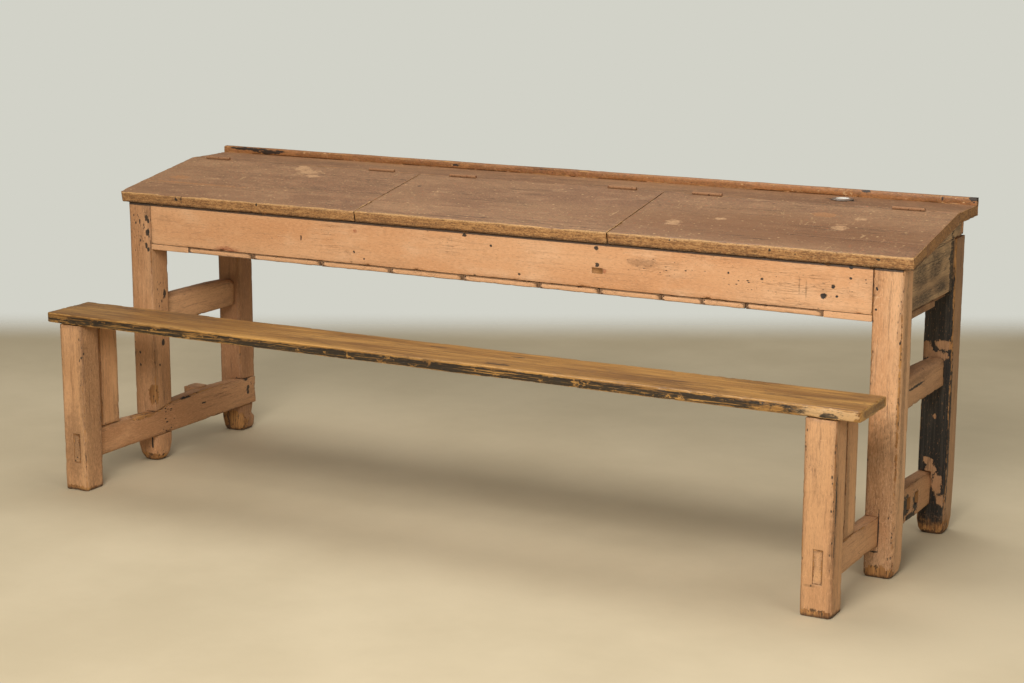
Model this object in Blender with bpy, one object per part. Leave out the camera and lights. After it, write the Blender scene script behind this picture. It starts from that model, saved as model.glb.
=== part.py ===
"""A three-seat school desk with its bench, built from separate boards as a joiner builds it.

Metres, +Z up. X runs along the desk, Y runs from the sitter to the back of the desk, and the
origin is on the floor under the middle of the whole piece. Places along Y are measured from the
front face of the desk's front legs, which the empty named desk carries.
"""

from math import acos, cos, pi, radians, sin, tan

import bmesh
import bpy
from mathutils import Vector

# Frame of the desk
FRAME_LENGTH = 2.090
FRAME_DEPTH = 0.445
LEG_WIDTH = 0.069
LEG_DEPTH = 0.069

# Top: fixed shelf at the back, three sloping lids in front of it
SHELF_HEIGHT = 0.7774
SHELF_THICKNESS = 0.0264
SHELF_OVERHANG = 0.0196
END_OVERHANG = 0.0216
LID_SLOPE = radians(10.2)
SHELF_DEPTH = 0.1592
LID_NOSE = 0.0108
LID_THICKNESS = 0.029
LID_FRONT_BOARD = 0.093
MIDDLE_LID_LENGTH = 0.683
LID_SEAM = 0.0016
LIP_HEIGHT = 0.0171
LIP_THICKNESS = 0.0164
LIP_ROUND = 0.005
BATTEN_WIDTH = 0.045
BATTEN_THICKNESS = 0.014
BATTEN_INSET = 0.130
BATTEN_BACK = 0.040
BATTEN_FRONT = 0.0493

# Case under the lids
APRON_HEIGHT = 0.105
APRON_THICKNESS = 0.022
APRON_SETBACK = 0.0012
APRON_RECESS_WIDTH = 0.027
APRON_RECESS_HEIGHT = 0.013
APRON_RECESS_DEPTH = 0.0015
APRON_RECESS_PLACE = 0.315
APRON_RECESS_RISE = 0.034
REAR_APRON_SETBACK = 0.002
BACK_BOARD_HEIGHT = 0.0417
BACK_BOARD_THICKNESS = 0.0185
END_PANEL_THICKNESS = 0.022
END_PANEL_RECESS = 0.0055
END_SPLIT_LENGTH = 0.072
END_SPLIT_WIDTH = 0.0012
DIVIDER_THICKNESS = 0.018
HOUSING_DEPTH = 0.005
FLOOR_THICKNESS = 0.0141
FLOOR_SETBACK = 0.0008
FLOOR_JOINT = 0.0007
FLOOR_END_RECESS = 0.003
FLOOR_BREAK_WIDTH = 0.018
FLOOR_BREAK_PLACE = 0.238

# Rails and stretchers between the legs
TENON_LENGTH = 0.022
TENON_THICKNESS = 0.010
TENON_SHOULDER = 0.012
MID_RAIL_THICKNESS = 0.042
MID_RAIL_HEIGHT = 0.078
MID_RAIL_TOP = 0.440
MID_RAIL_RECESS = 0.015
STRETCHER_BOTTOM = 0.073
STRETCHER_HEIGHT = 0.084
STRETCHER_LAP = 0.032
STRETCHER_PROUD = 0.002
STRETCHER_TENON = 0.020
SOCKET_DEPTH = 0.012
SOCKET_LENGTH = 0.026
SOCKET_HEIGHT = 0.030
SOCKET_SPACING = 0.058
STUB_WIDTH = 0.058
STUB_HEIGHT = 0.036
STUB_HOUSING = 0.014
STUB_PLACE = 0.204
STUB_RISE = 0.003

# Bench
BENCH_OVERHANG = 0.0216
BENCH_REACH = 0.3126
SEAT_DEPTH = 0.163
SEAT_THICKNESS = 0.0259
SEAT_HEIGHT = 0.4526
SEAT_LIP = 0.002
BENCH_LEG_WIDTH = 0.070
BENCH_LEG_DEPTH = 0.066
BENCH_RIGHT_INSET = 0.010
POST_DEPTH = 0.068

# Hinges
HINGE_LENGTH = 0.076
KNUCKLE_RADIUS = 0.004
PIN_RADIUS = 0.0016
PIN_RISE = 0.002
LEAF_THICKNESS = 0.0018
LEAF_HEIGHT = 0.024
LEAF_OFFSET = 0.0006

# Inkwell
INKWELL_END = 0.3026
INKWELL_SETBACK = 0.0776
INKWELL_RADIUS = 0.021
INKWELL_FLANGE = 0.026
INKWELL_RISE = 0.0035
INKWELL_DEPTH = 0.040
INKWELL_MOUTH = 0.014
INKWELL_WALL = 0.005
INKWELL_PLAY = 0.001

# Clearances and finish
SEAT = 0.0003
OVERRUN = 0.010
EASE = 0.0016
SEAT_EASE = 0.0045
SHARP_ANGLE = radians(35)

# Counts
ROUND_SIDES = 16
INKWELL_SIDES = 24
CORNER_POINTS = 4
KNUCKLES = 5

# Joints between the twelve floor boards, as shares of the clear length between the legs
board_joint_shares = (
    0.0, 0.0605, 0.165, 0.2717, 0.3742, 0.479, 0.5839, 0.6649, 0.7448, 0.796, 0.8497, 0.9433, 1.0,
)

# Hinge centres as shares of each lid's length: left, middle and right lid
hinge_place_shares = ((0.12, 0.841), (0.184, 0.838), (0.155, 0.84))

# Worn feet, from the floor up: height as a share of the space under the stretcher, then how far
# the inner, outer, front and rear faces are worn in, and the corner round, as shares of the leg
front_left_foot_shares = (
    (0.0, 0.2, 0.2, 0.2, 0.2, 0.26),
    (0.1, 0.09, 0.1, 0.1, 0.09, 0.32),
    (0.28, 0.025, 0.03, 0.03, 0.02, 0.3),
    (0.6, 0.0, 0.0, 0.0, 0.0, 0.2),
)
front_right_foot_shares = (
    (0.0, 0.03, 0.09, 0.05, 0.08, 0.16),
    (0.12, 0.0, 0.045, 0.01, 0.03, 0.16),
    (0.4, 0.0, 0.0, 0.0, 0.0, 0.14),
)
rear_left_foot_shares = (
    (0.0, 0.1, 0.08, 0.1, 0.07, 0.2),
    (0.14, 0.03, 0.03, 0.04, 0.0, 0.2),
    (0.46, 0.02, 0.0, 0.0, 0.01, 0.14),
    (0.62, 0.06, 0.0, 0.0, 0.16, 0.12),
    (0.8, 0.05, 0.0, 0.0, 0.12, 0.1),
)
rear_right_foot_shares = (
    (0.0, 0.14, 0.1, 0.1, 0.13, 0.18),
    (0.16, 0.06, 0.05, 0.03, 0.07, 0.16),
    (0.45, 0.02, 0.02, 0.0, 0.02, 0.12),
)

# Corner rounds above the foot: share of the leg's height, outer front corner, other corners
square_corner_shares = ((0.2, 0.07, 0.06), (0.5, 0.07, 0.06), (1.0, 0.05, 0.05))
worn_corner_shares = ((0.2, 0.24, 0.08), (0.5, 0.18, 0.06), (0.85, 0.12, 0.05), (1.0, 0.07, 0.05))

# Top edge of a lower stretcher: place as a share of the run between two named faces, and height
# as a share of the stretcher's height, with the hollow that feet have worn before the front leg
bench_top_share = 0.88
worn_run_shares = ((0.45, 0.83), (1.0, 0.79))
behind_leg_share = 0.97
rear_run_shares = ((0.35, 1.0), (0.7, 1.0), (1.0, 0.94))
rear_end_share = 0.9

# Top edge of a mid rail along its run between the legs, as shares of its height
left_rail_shares = ((0.0, 1.0), (0.7, 1.0), (0.92, 0.965), (1.0, 0.9))
right_rail_shares = ((0.0, 1.0), (0.25, 1.0), (0.7, 0.93), (1.0, 0.85))
rail_round_share = 0.3

# Broken edge of the last floor board, as shares of the broken strip
break_edge_shares = ((1.0, 0.0), (0.62, 0.5), (0.5, 0.3), (0.2, 0.9), (0.0, 1.6))

# Worn outer end of the foot rail's stub: share of its free length, share of its section lost
stub_end_shares = ((0.0, 0.16), (0.18, 0.05), (0.5, 0.0))

# Places worked out from the sizes above
half_frame = FRAME_LENGTH / 2
inner_face = half_frame - LEG_WIDTH
top_half = half_frame + END_OVERHANG
rear_leg_front = FRAME_DEPTH - LEG_DEPTH
shelf_rear = FRAME_DEPTH + SHELF_OVERHANG
hinge_line = shelf_rear - SHELF_DEPTH
shelf_bottom = SHELF_HEIGHT - SHELF_THICKNESS
overall_depth = BENCH_REACH + shelf_rear
hinge_height = SHELF_HEIGHT + PIN_RISE
rear_leg_top = shelf_bottom - BACK_BOARD_HEIGHT - 2 * SEAT
apron_rear = APRON_SETBACK + APRON_THICKNESS
rear_apron_back = FRAME_DEPTH - REAR_APRON_SETBACK
rear_apron_front = rear_apron_back - APRON_THICKNESS
back_board_front = FRAME_DEPTH - BACK_BOARD_THICKNESS
panel_outer = half_frame - END_PANEL_RECESS
panel_inner = panel_outer - END_PANEL_THICKNESS
stretcher_inner = inner_face - STRETCHER_PROUD
stretcher_outer = inner_face + STRETCHER_LAP
stretcher_middle = (stretcher_inner + stretcher_outer) / 2
rail_outer = half_frame - MID_RAIL_RECESS
rail_inner = rail_outer - MID_RAIL_THICKNESS
inkwell_x = top_half - INKWELL_END
inkwell_y = shelf_rear - INKWELL_SETBACK
seat_half = half_frame + BENCH_OVERHANG
seat_bottom = SEAT_HEIGHT - SEAT_THICKNESS
seat_front = -BENCH_REACH
seat_rear = seat_front + SEAT_DEPTH
bench_leg_front = seat_front + SEAT_LIP
bench_leg_rear = bench_leg_front + BENCH_LEG_DEPTH
post_rear = seat_rear - SEAT_LIP
post_front = post_rear - POST_DEPTH
bench_top = STRETCHER_BOTTOM + bench_top_share * STRETCHER_HEIGHT


def slope_height(y, drop=0.0):
    """Height above the floor of a plane lying drop below the lids' top face, at y."""
    return SHELF_HEIGHT - (hinge_line - y) * tan(LID_SLOPE) - drop / cos(LID_SLOPE)


def under_lid(y):
    """Height of the top edge of what carries the lids."""
    return slope_height(y, LID_THICKNESS + SEAT)


floor_top = under_lid(0.0) - APRON_HEIGHT - SEAT
floor_bottom = floor_top - FLOOR_THICKNESS
case_bottom = floor_top + SEAT


def clear_scene():
    for obj in list(bpy.data.objects):
        bpy.data.objects.remove(obj, do_unlink=True)


def make_finish(name, colour, roughness, metallic=0.0):
    """A plain Principled material."""
    finish = bpy.data.materials.new(name)
    finish.use_nodes = True
    shader = finish.node_tree.nodes["Principled BSDF"]
    shader.inputs["Base Color"].default_value = (*colour, 1.0)
    shader.inputs["Roughness"].default_value = roughness
    shader.inputs["Metallic"].default_value = metallic
    return finish


def make_empty(name, location, parent=None, tilt=0.0):
    empty = bpy.data.objects.new(name, None)
    empty.location = location
    empty.rotation_euler.x = tilt
    empty.parent = parent
    bpy.context.scene.collection.objects.link(empty)
    return empty


def place(name, shape, parent, finish=None, pivot=None):
    """Turns a bmesh into an object whose origin is its own middle, or the pivot if one is given."""
    bmesh.ops.recalc_face_normals(shape, faces=shape.faces)
    if pivot is None:
        spans = [(min(axis), max(axis)) for axis in zip(*(v.co for v in shape.verts))]
        pivot = [sum(span) / 2 for span in spans]
    bmesh.ops.translate(shape, verts=shape.verts, vec=-Vector(pivot))
    mesh = bpy.data.meshes.new(name)
    shape.to_mesh(mesh)
    shape.free()
    obj = bpy.data.objects.new(name, mesh)
    obj.location = pivot
    obj.parent = parent
    bpy.context.scene.collection.objects.link(obj)
    if finish is not None:
        mesh.materials.append(finish)
    return obj


def prism(outline, axis, start, end):
    """Extrudes an outline along an axis; its points hold the other two coordinates in order."""
    along = "XYZ".index(axis)
    shape = bmesh.new()
    corners = []
    for point in outline:
        co = list(point)
        co.insert(along, start)
        corners.append(shape.verts.new(co))
    face = shape.faces.new(corners)
    made = bmesh.ops.extrude_face_region(shape, geom=[face])["geom"]
    moved = [item for item in made if isinstance(item, bmesh.types.BMVert)]
    step = Vector((0.0, 0.0, 0.0))
    step[along] = end - start
    bmesh.ops.translate(shape, verts=moved, vec=step)
    return shape


def block(x, y, z):
    """A box from its three spans."""
    outline = ((y[0], z[0]), (y[1], z[0]), (y[1], z[1]), (y[0], z[1]))
    return prism(outline, "X", x[0], x[1])


def loft(rings):
    """Skins rings of equal point counts and caps both ends."""
    shape = bmesh.new()
    rows = [[shape.verts.new(point) for point in ring] for ring in rings]
    for below, above in zip(rows, rows[1:]):
        for i in range(len(below)):
            j = (i + 1) % len(below)
            shape.faces.new((below[i], below[j], above[j], above[i]))
    shape.faces.new(rows[0][::-1])
    shape.faces.new(rows[-1])
    return shape


def turned(profile, axis, sides):
    """Spins a profile of (along, radius) points round an axis through the local origin."""
    shape = bmesh.new()
    along = Vector((1.0, 0.0, 0.0)) if axis == "X" else Vector((0.0, 0.0, 1.0))
    across = Vector((0.0, 0.0, 1.0)) if axis == "X" else Vector((1.0, 0.0, 0.0))
    points = [shape.verts.new(along * a + across * r) for a, r in profile]
    edges = [shape.edges.new(pair) for pair in zip(points, points[1:])]
    bmesh.ops.spin(
        shape,
        geom=points + edges,
        cent=(0.0, 0.0, 0.0),
        axis=along,
        angle=2 * pi,
        steps=sides,
        use_merge=True,
        use_duplicate=False,
    )
    bmesh.ops.remove_doubles(shape, verts=shape.verts, dist=PIN_RADIUS / ROUND_SIDES)
    return shape


def merge_shapes(first, *others):
    """Puts several bmeshes into the first."""
    for other in others:
        spare = bpy.data.meshes.new("spare")
        other.to_mesh(spare)
        other.free()
        first.from_mesh(spare)
        bpy.data.meshes.remove(spare)
    return first


def helper(name, shape, parent, pivot=None):
    """A cutter or a piece to be joined on, which doesn't render."""
    obj = place(name, shape, parent, pivot=pivot)
    obj.hide_render = True
    obj.display_type = "WIRE"
    return obj


def combine(target, tool, operation):
    modifier = target.modifiers.new(tool.name, "BOOLEAN")
    modifier.operation = operation
    modifier.solver = "EXACT"
    modifier.object = tool


def cut(target, tool):
    combine(target, tool, "DIFFERENCE")


def join(target, tool):
    combine(target, tool, "UNION")


def ease(obj, width=EASE, segments=1):
    """Takes the sharp arris off a board's outer edges and leaves its inside corners sharp."""
    shape = bmesh.new()
    shape.from_mesh(obj.data)
    weight = shape.edges.layers.float.new("bevel_weight_edge")
    for edge in shape.edges:
        if edge.calc_face_angle_signed() > SHARP_ANGLE:
            edge[weight] = 1.0
    shape.to_mesh(obj.data)
    shape.free()
    bevel = obj.modifiers.new("eased_edges", "BEVEL")
    bevel.width = width
    bevel.segments = segments
    bevel.limit_method = "WEIGHT"


def shade_round(obj):
    obj.data.shade_smooth()
    obj.data.set_sharp_from_angle(angle=SHARP_ANGLE)


def span(side, near, far):
    """The x span between two distances from the middle, on the left (-1) or right (+1) side."""
    return tuple(sorted((side * near, side * far)))


def leg_ring(side, front, worn, rounds, height):
    """One rounded square section of a leg, from its worn-in faces and its four corner radii."""
    inner, outer, before, behind = worn
    low, high = span(side, inner_face + inner, half_frame - outer)
    near = front + before
    far = front + LEG_DEPTH - behind
    outer_front, inner_front, inner_rear, outer_rear = rounds
    if side > 0:
        corners = ((low, near, inner_front), (high, near, outer_front),
                   (high, far, outer_rear), (low, far, inner_rear))
    else:
        corners = ((low, near, outer_front), (high, near, inner_front),
                   (high, far, inner_rear), (low, far, outer_rear))
    ring = []
    for quarter, (x, y, radius) in enumerate(corners):
        to_x = radius if x == low else -radius
        to_y = radius if y == near else -radius
        for step in range(CORNER_POINTS):
            turn = pi + (quarter + step / (CORNER_POINTS - 1)) * pi / 2
            px = x + to_x + radius * cos(turn)
            py = y + to_y + radius * sin(turn)
            ring.append((px, py, height(py)))
    return ring


def leg_shape(side, front, foot_shares, corner_shares, top):
    """A square leg with a worn foot; top gives the height of its upper end at y."""
    rings = []
    foot = STRETCHER_BOTTOM
    least = min(top(front), top(front + LEG_DEPTH))
    for height_share, inner, outer, before, behind, corner in foot_shares:
        worn = [share * LEG_WIDTH for share in (inner, outer, before, behind)]
        rounds = [corner * LEG_WIDTH] * 4
        level = height_share * foot
        rings.append(leg_ring(side, front, worn, rounds, lambda y, level=level: level))
    for height_share, outer_front, other in corner_shares:
        rounds = [outer_front * LEG_WIDTH] + [other * LEG_WIDTH] * 3
        level = height_share * least
        height = top if height_share == 1.0 else lambda y, level=level: level
        rings.append(leg_ring(side, front, [0.0] * 4, rounds, height))
    return loft(rings)


def stretcher_top(grow=0.0):
    """Points (y, z) along the worn top edge of a lower stretcher, from bench to back."""
    def level(share):
        return STRETCHER_BOTTOM + share * STRETCHER_HEIGHT + grow

    points = [(bench_leg_rear, level(bench_top_share)), (post_rear + SEAT, level(bench_top_share))]
    run = -post_rear
    points += [(post_rear + share * run, level(height)) for share, height in worn_run_shares]
    points.append((LEG_DEPTH, level(behind_leg_share)))
    run = rear_leg_front - LEG_DEPTH
    points += [(LEG_DEPTH + share * run, level(height)) for share, height in rear_run_shares]
    points.append((FRAME_DEPTH, level(rear_end_share)))
    return points


def stretcher_outline():
    """Side view of a lower stretcher from the bench leg's shoulder to its rear end."""
    return [
        (bench_leg_rear, STRETCHER_BOTTOM), *stretcher_top(), (FRAME_DEPTH, STRETCHER_BOTTOM),
    ]


def stretcher_notch_outline():
    """The same side view with clearance, run on past the rear leg, to notch the legs with."""
    top = stretcher_top(SEAT)
    bottom = STRETCHER_BOTTOM - SEAT
    past = FRAME_DEPTH + OVERRUN
    return [(bench_leg_rear, bottom), *top, (past, top[-1][1]), (past, bottom)]


def add_lower_stretcher(side, name, desk, finish):
    """Lower stretcher: through tenon in the bench leg, half lapped into both desk legs."""
    inner, outer = stretcher_inner, stretcher_outer
    x = span(side, inner, outer)
    stretcher = place(name, prism(stretcher_outline(), "X", *x), desk, finish)
    ease(stretcher)
    tongue = block(
        span(side, inner, inner + STRETCHER_TENON),
        (bench_leg_front, bench_leg_rear + OVERRUN),
        (STRETCHER_BOTTOM, bench_top),
    )
    join(stretcher, helper(name + "_tenon", tongue, desk))
    socket = block(
        span(side, *tenon_span(inner, outer)),
        (post_front + TENON_SHOULDER, post_rear - TENON_SHOULDER),
        (bench_top - TENON_LENGTH, bench_top + OVERRUN),
    )
    cut(stretcher, helper(name + "_post_mortise", socket, desk))
    return stretcher


def grown(low, high, by=SEAT):
    return low - by, high + by


def add_desk_legs(desk, paint, dark_paint):
    """Four square legs, notched for the stretchers and mortised for aprons, panels and rails."""
    left, right = -1, 1
    plans = (
        ("front_left", left, front_left_foot_shares, square_corner_shares),
        ("front_right", right, front_right_foot_shares, worn_corner_shares),
        ("rear_left", left, rear_left_foot_shares, square_corner_shares),
        ("rear_right", right, rear_right_foot_shares, square_corner_shares),
    )
    for word, side, foot_shares, corner_shares in plans:
        is_front = word.startswith("front")
        front = 0.0 if is_front else rear_leg_front
        top = under_lid if is_front else rear_leg_height
        shape = leg_shape(side, front, foot_shares, corner_shares, top)
        finish = dark_paint if word == "rear_right" else paint
        leg = place(f"desk_leg_{word}", shape, desk, finish)
        shade_round(leg)
        for piece, pocket in leg_pockets(side, is_front).items():
            cut(leg, helper(f"{leg.name}_{piece}", pocket, desk))


def rear_leg_height(y):
    """The rear legs end level, whatever y."""
    return rear_leg_top


def tenon_span(low, high):
    """The thickness of a tenon in the middle of a board that lies between two faces."""
    middle = (low + high) / 2
    return middle - TENON_THICKNESS / 2, middle + TENON_THICKNESS / 2


def leg_pockets(side, is_front):
    """What is cut from a desk leg: the stretcher's notch and the mortises of its other joints."""
    if is_front:
        depth = (LEG_DEPTH - TENON_LENGTH - SEAT, LEG_DEPTH + OVERRUN)
    else:
        depth = (rear_leg_front - OVERRUN, rear_leg_front + TENON_LENGTH + SEAT)
    return {
        "stretcher_notch": prism(
            stretcher_notch_outline(), "X",
            *span(side, inner_face - OVERRUN, stretcher_outer + SEAT),
        ),
        "apron_mortise": block(
            span(side, inner_face - OVERRUN, inner_face + TENON_LENGTH + SEAT),
            grown(*apron_tenon_span(is_front)),
            grown(*apron_tenon_heights(is_front)),
        ),
        "panel_mortise": block(
            span(side, *grown(*tenon_span(panel_inner, panel_outer))),
            depth,
            grown(*panel_tenon_heights()),
        ),
        "rail_mortise": block(
            span(side, *grown(*tenon_span(rail_inner, rail_outer))),
            depth,
            grown(*rail_tenon_heights()),
        ),
    }


def apron_tenon_span(is_front):
    if is_front:
        return tenon_span(APRON_SETBACK, apron_rear)
    return tenon_span(rear_apron_front, rear_apron_back)


def apron_tenon_heights(is_front):
    top = under_lid(APRON_SETBACK) if is_front else rear_leg_top
    return case_bottom + TENON_SHOULDER, top - TENON_SHOULDER


def panel_tenon_heights():
    return case_bottom + TENON_SHOULDER, under_lid(LEG_DEPTH) - TENON_SHOULDER


def rail_tenon_heights():
    least = min(share for _, share in left_rail_shares + right_rail_shares)
    bottom = MID_RAIL_TOP - MID_RAIL_HEIGHT
    return bottom + TENON_SHOULDER, bottom + least * MID_RAIL_HEIGHT - TENON_SHOULDER


def add_front_apron(desk, paint):
    """Front apron: slanted top edge under the lids, tenoned ends, grooves for the dividers."""
    front, rear = APRON_SETBACK, apron_rear
    outline = (
        (front, case_bottom), (rear, case_bottom), (rear, under_lid(rear)), (front, under_lid(front)),
    )
    half = inner_face - SEAT
    apron = place("front_apron", prism(outline, "X", -half, half), desk, paint)
    add_apron_joints(apron, True, desk)
    recess = block(
        (APRON_RECESS_PLACE - APRON_RECESS_WIDTH / 2, APRON_RECESS_PLACE + APRON_RECESS_WIDTH / 2),
        (front - OVERRUN, front + APRON_RECESS_DEPTH),
        (case_bottom + APRON_RECESS_RISE, case_bottom + APRON_RECESS_RISE + APRON_RECESS_HEIGHT),
    )
    cut(apron, helper("front_apron_recess", recess, desk))


def add_rear_apron(desk, paint):
    half = inner_face - SEAT
    shape = block((-half, half), (rear_apron_front, rear_apron_back), (case_bottom, rear_leg_top))
    apron = place("rear_apron", shape, desk, paint)
    add_apron_joints(apron, False, desk)


def add_apron_joints(apron, is_front, desk):
    """Tenons at both ends of an apron and a housing for each divider on its inner face."""
    ease(apron)
    thickness = apron_tenon_span(is_front)
    inner = apron_rear if is_front else rear_apron_front
    into = -HOUSING_DEPTH if is_front else HOUSING_DEPTH
    groove = tuple(sorted((inner + into, inner - into - into)))
    for side, word in ((-1, "left"), (1, "right")):
        tongue = block(
            span(side, inner_face - OVERRUN, inner_face + TENON_LENGTH),
            thickness,
            apron_tenon_heights(is_front),
        )
        join(apron, helper(f"{apron.name}_tenon_{word}", tongue, desk))
        place_x = side * divider_place()
        housing = block(
            grown(place_x - DIVIDER_THICKNESS / 2, place_x + DIVIDER_THICKNESS / 2),
            groove,
            (case_bottom - OVERRUN, SHELF_HEIGHT),
        )
        cut(apron, helper(f"{apron.name}_housing_{word}", housing, desk))


def divider_place():
    """The dividers stand under the seams between the lids."""
    return (MIDDLE_LID_LENGTH + LID_SEAM) / 2


def add_dividers(desk, bare_wood):
    """Two partitions that part the case into three and carry the lids at their seams."""
    front = apron_rear - HOUSING_DEPTH + SEAT
    rear = min(rear_apron_front + HOUSING_DEPTH, back_board_front) - SEAT
    outline = (
        (front, case_bottom),
        (rear, case_bottom),
        (rear, shelf_bottom - SEAT),
        (hinge_line, shelf_bottom - SEAT),
        (hinge_line, min(under_lid(hinge_line), shelf_bottom - SEAT)),
        (front, under_lid(front)),
    )
    for side, word in ((-1, "left"), (1, "right")):
        middle = side * divider_place()
        x = (middle - DIVIDER_THICKNESS / 2, middle + DIVIDER_THICKNESS / 2)
        place(f"divider_{word}", prism(outline, "X", *x), desk, bare_wood)


def add_end_panels(desk, dark_wood):
    """End panels, tenoned between the legs and carried back over the top of each rear leg."""
    front, rear = LEG_DEPTH + SEAT, rear_leg_front - SEAT
    over_leg = rear_leg_top + SEAT
    back = back_board_front - SEAT
    top = shelf_bottom - SEAT
    outline = (
        (front, case_bottom),
        (rear, case_bottom),
        (rear, over_leg),
        (back, over_leg),
        (back, top),
        (hinge_line, top),
        (hinge_line, min(under_lid(hinge_line), top)),
        (front, under_lid(front)),
    )
    for side, word in ((-1, "left"), (1, "right")):
        x = span(side, panel_inner, panel_outer)
        panel = place(f"end_panel_{word}", prism(outline, "X", *x), desk, dark_wood)
        ease(panel)
        tongue = block(
            span(side, *tenon_span(panel_inner, panel_outer)),
            (LEG_DEPTH - TENON_LENGTH, rear_leg_front + TENON_LENGTH),
            panel_tenon_heights(),
        )
        join(panel, helper(f"end_panel_{word}_tenons", tongue, desk))
    split = prism(
        (
            (rear - END_SPLIT_LENGTH, over_leg),
            (rear + OVERRUN, over_leg - END_SPLIT_WIDTH / 2),
            (rear + OVERRUN, over_leg + END_SPLIT_WIDTH / 2),
        ),
        "X", *span(1, panel_inner - OVERRUN, panel_outer + OVERRUN),
    )
    cut(bpy.data.objects["end_panel_right"], helper("end_panel_split", split, desk))


def add_back_board(desk, paint):
    half = panel_outer
    shape = block(
        (-half, half), (back_board_front, FRAME_DEPTH), (rear_leg_top + SEAT, shelf_bottom - SEAT),
    )
    ease(place("back_board", shape, desk, paint))


def board_edges():
    """The x span of each floor board between the legs."""
    clear = inner_face - SEAT
    joints = [clear * (2 * share - 1) for share in board_joint_shares]
    gap = FLOOR_JOINT / 2
    return [(low + gap, high - gap) for low, high in zip(joints, joints[1:])]


def add_floor_boards(desk, bare_wood):
    """Twelve boards nailed under the aprons; the two outer ones are notched round the legs."""
    front, rear = FLOOR_SETBACK, rear_apron_back
    edges = board_edges()
    last = len(edges) - 1
    z = (floor_bottom, floor_top)
    for i, (low, high) in enumerate(edges):
        name = f"floor_board_{i + 1:02d}"
        if 0 < i < last:
            board = place(name, block((low, high), (front, rear), z), desk, bare_wood)
            ease(board)
            continue
        side = -1 if i == 0 else 1
        near = abs(high if i == 0 else low)
        far = inner_face - SEAT
        out = half_frame - FLOOR_END_RECESS
        before, behind = LEG_DEPTH + SEAT, rear_leg_front - SEAT
        outline = [(near, front), (far, front), (far, before), (out, before)]
        if side > 0:
            strip = out - FLOOR_BREAK_WIDTH
            outline += [
                (strip + across * FLOOR_BREAK_WIDTH, FLOOR_BREAK_PLACE + along * FLOOR_BREAK_WIDTH)
                for across, along in break_edge_shares
            ]
            outline.append((strip, behind))
        else:
            outline.append((out, behind))
        outline += [(far, behind), (far, rear), (near, rear)]
        outline = [(side * x, y) for x, y in outline]
        board = place(name, prism(outline, "Z", *z), desk, bare_wood)
        ease(board)


def add_shelf(desk, top_paint):
    """Fixed shelf behind the lids, with the inkwell's hole."""
    front = hinge_line + SEAT
    shape = block((-top_half, top_half), (front, shelf_rear), (shelf_bottom, SHELF_HEIGHT))
    shelf = place("ink_shelf", shape, desk, top_paint)
    ease(shelf)
    bore = INKWELL_RADIUS + INKWELL_PLAY
    length = SHELF_THICKNESS + 2 * OVERRUN
    hole = turned(((0.0, 0.0), (0.0, bore), (length, bore), (length, 0.0)), "Z", INKWELL_SIDES)
    tool = helper("inkwell_hole", hole, desk, pivot=(0.0, 0.0, 0.0))
    tool.location = (inkwell_x, inkwell_y, shelf_bottom - OVERRUN)
    cut(shelf, tool)
    return shelf


def add_lip(desk, top_paint):
    """Raised lip along the back of the shelf, rounded on top."""
    low = SHELF_HEIGHT + SEAT
    high = low + LIP_HEIGHT
    front, rear = shelf_rear - LIP_THICKNESS, shelf_rear
    turns = [i * pi / 2 / (CORNER_POINTS - 1) for i in range(CORNER_POINTS)]
    arc = [
        (front + LIP_ROUND * (1 - cos(turn)), high - LIP_ROUND * (1 - sin(turn))) for turn in turns
    ]
    outline = [(front, low), *arc, (rear, high), (rear, low)]
    lip = place("pencil_lip", prism(outline, "X", -top_half, top_half), desk, top_paint)
    ease(lip)


def add_inkwell(desk, ceramic):
    """Glazed cup that hangs by its flange in the hole and lifts out."""
    inner = INKWELL_RADIUS - INKWELL_WALL
    floor = INKWELL_WALL - INKWELL_DEPTH
    rim_edge = INKWELL_RISE / 2
    profile = (
        (-INKWELL_DEPTH, 0.0),
        (-INKWELL_DEPTH, inner),
        (-INKWELL_DEPTH + INKWELL_WALL, INKWELL_RADIUS),
        (SEAT, INKWELL_RADIUS),
        (SEAT, INKWELL_FLANGE),
        (rim_edge, INKWELL_FLANGE + SEAT),
        (INKWELL_RISE, INKWELL_FLANGE - rim_edge),
        (INKWELL_RISE, INKWELL_MOUTH + rim_edge),
        (rim_edge, INKWELL_MOUTH),
        (-INKWELL_WALL, INKWELL_MOUTH),
        (-INKWELL_WALL - rim_edge, inner),
        (floor + INKWELL_WALL, inner),
        (floor, inner - INKWELL_WALL),
        (floor, 0.0),
    )
    shape = turned(profile, "Z", INKWELL_SIDES)
    cup = place("inkwell", shape, desk, ceramic, pivot=(0.0, 0.0, 0.0))
    cup.location = (inkwell_x, inkwell_y, SHELF_HEIGHT)
    shade_round(cup)


def lid_spans():
    """The x span of each lid, left to right."""
    half = MIDDLE_LID_LENGTH / 2
    return {
        "left": (-top_half, -half - LID_SEAM),
        "middle": (-half, half),
        "right": (half + LID_SEAM, top_half),
    }


def to_lid(y, z):
    """World place (y, z) in a lid's own frame, which lies on the hinge line and tilts with it."""
    dy, dz = y - hinge_line, z - hinge_height
    return dy * cos(LID_SLOPE) + dz * sin(LID_SLOPE), dz * cos(LID_SLOPE) - dy * sin(LID_SLOPE)


def hinge_cutter_outline():
    """Section of the recess for two leaves and the knuckle, the same in lid and shelf."""
    reach = LEAF_OFFSET + LEAF_THICKNESS + SEAT
    radius = KNUCKLE_RADIUS + SEAT
    low = hinge_height - LEAF_HEIGHT - SEAT
    begin = -acos(reach / radius)
    sweep = pi - 2 * begin
    outline = [(hinge_line + reach, low)]
    for i in range(ROUND_SIDES + 1):
        turn = begin + sweep * i / ROUND_SIDES
        outline.append((hinge_line + radius * cos(turn), hinge_height + radius * sin(turn)))
    outline.append((hinge_line - reach, low))
    return outline


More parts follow.
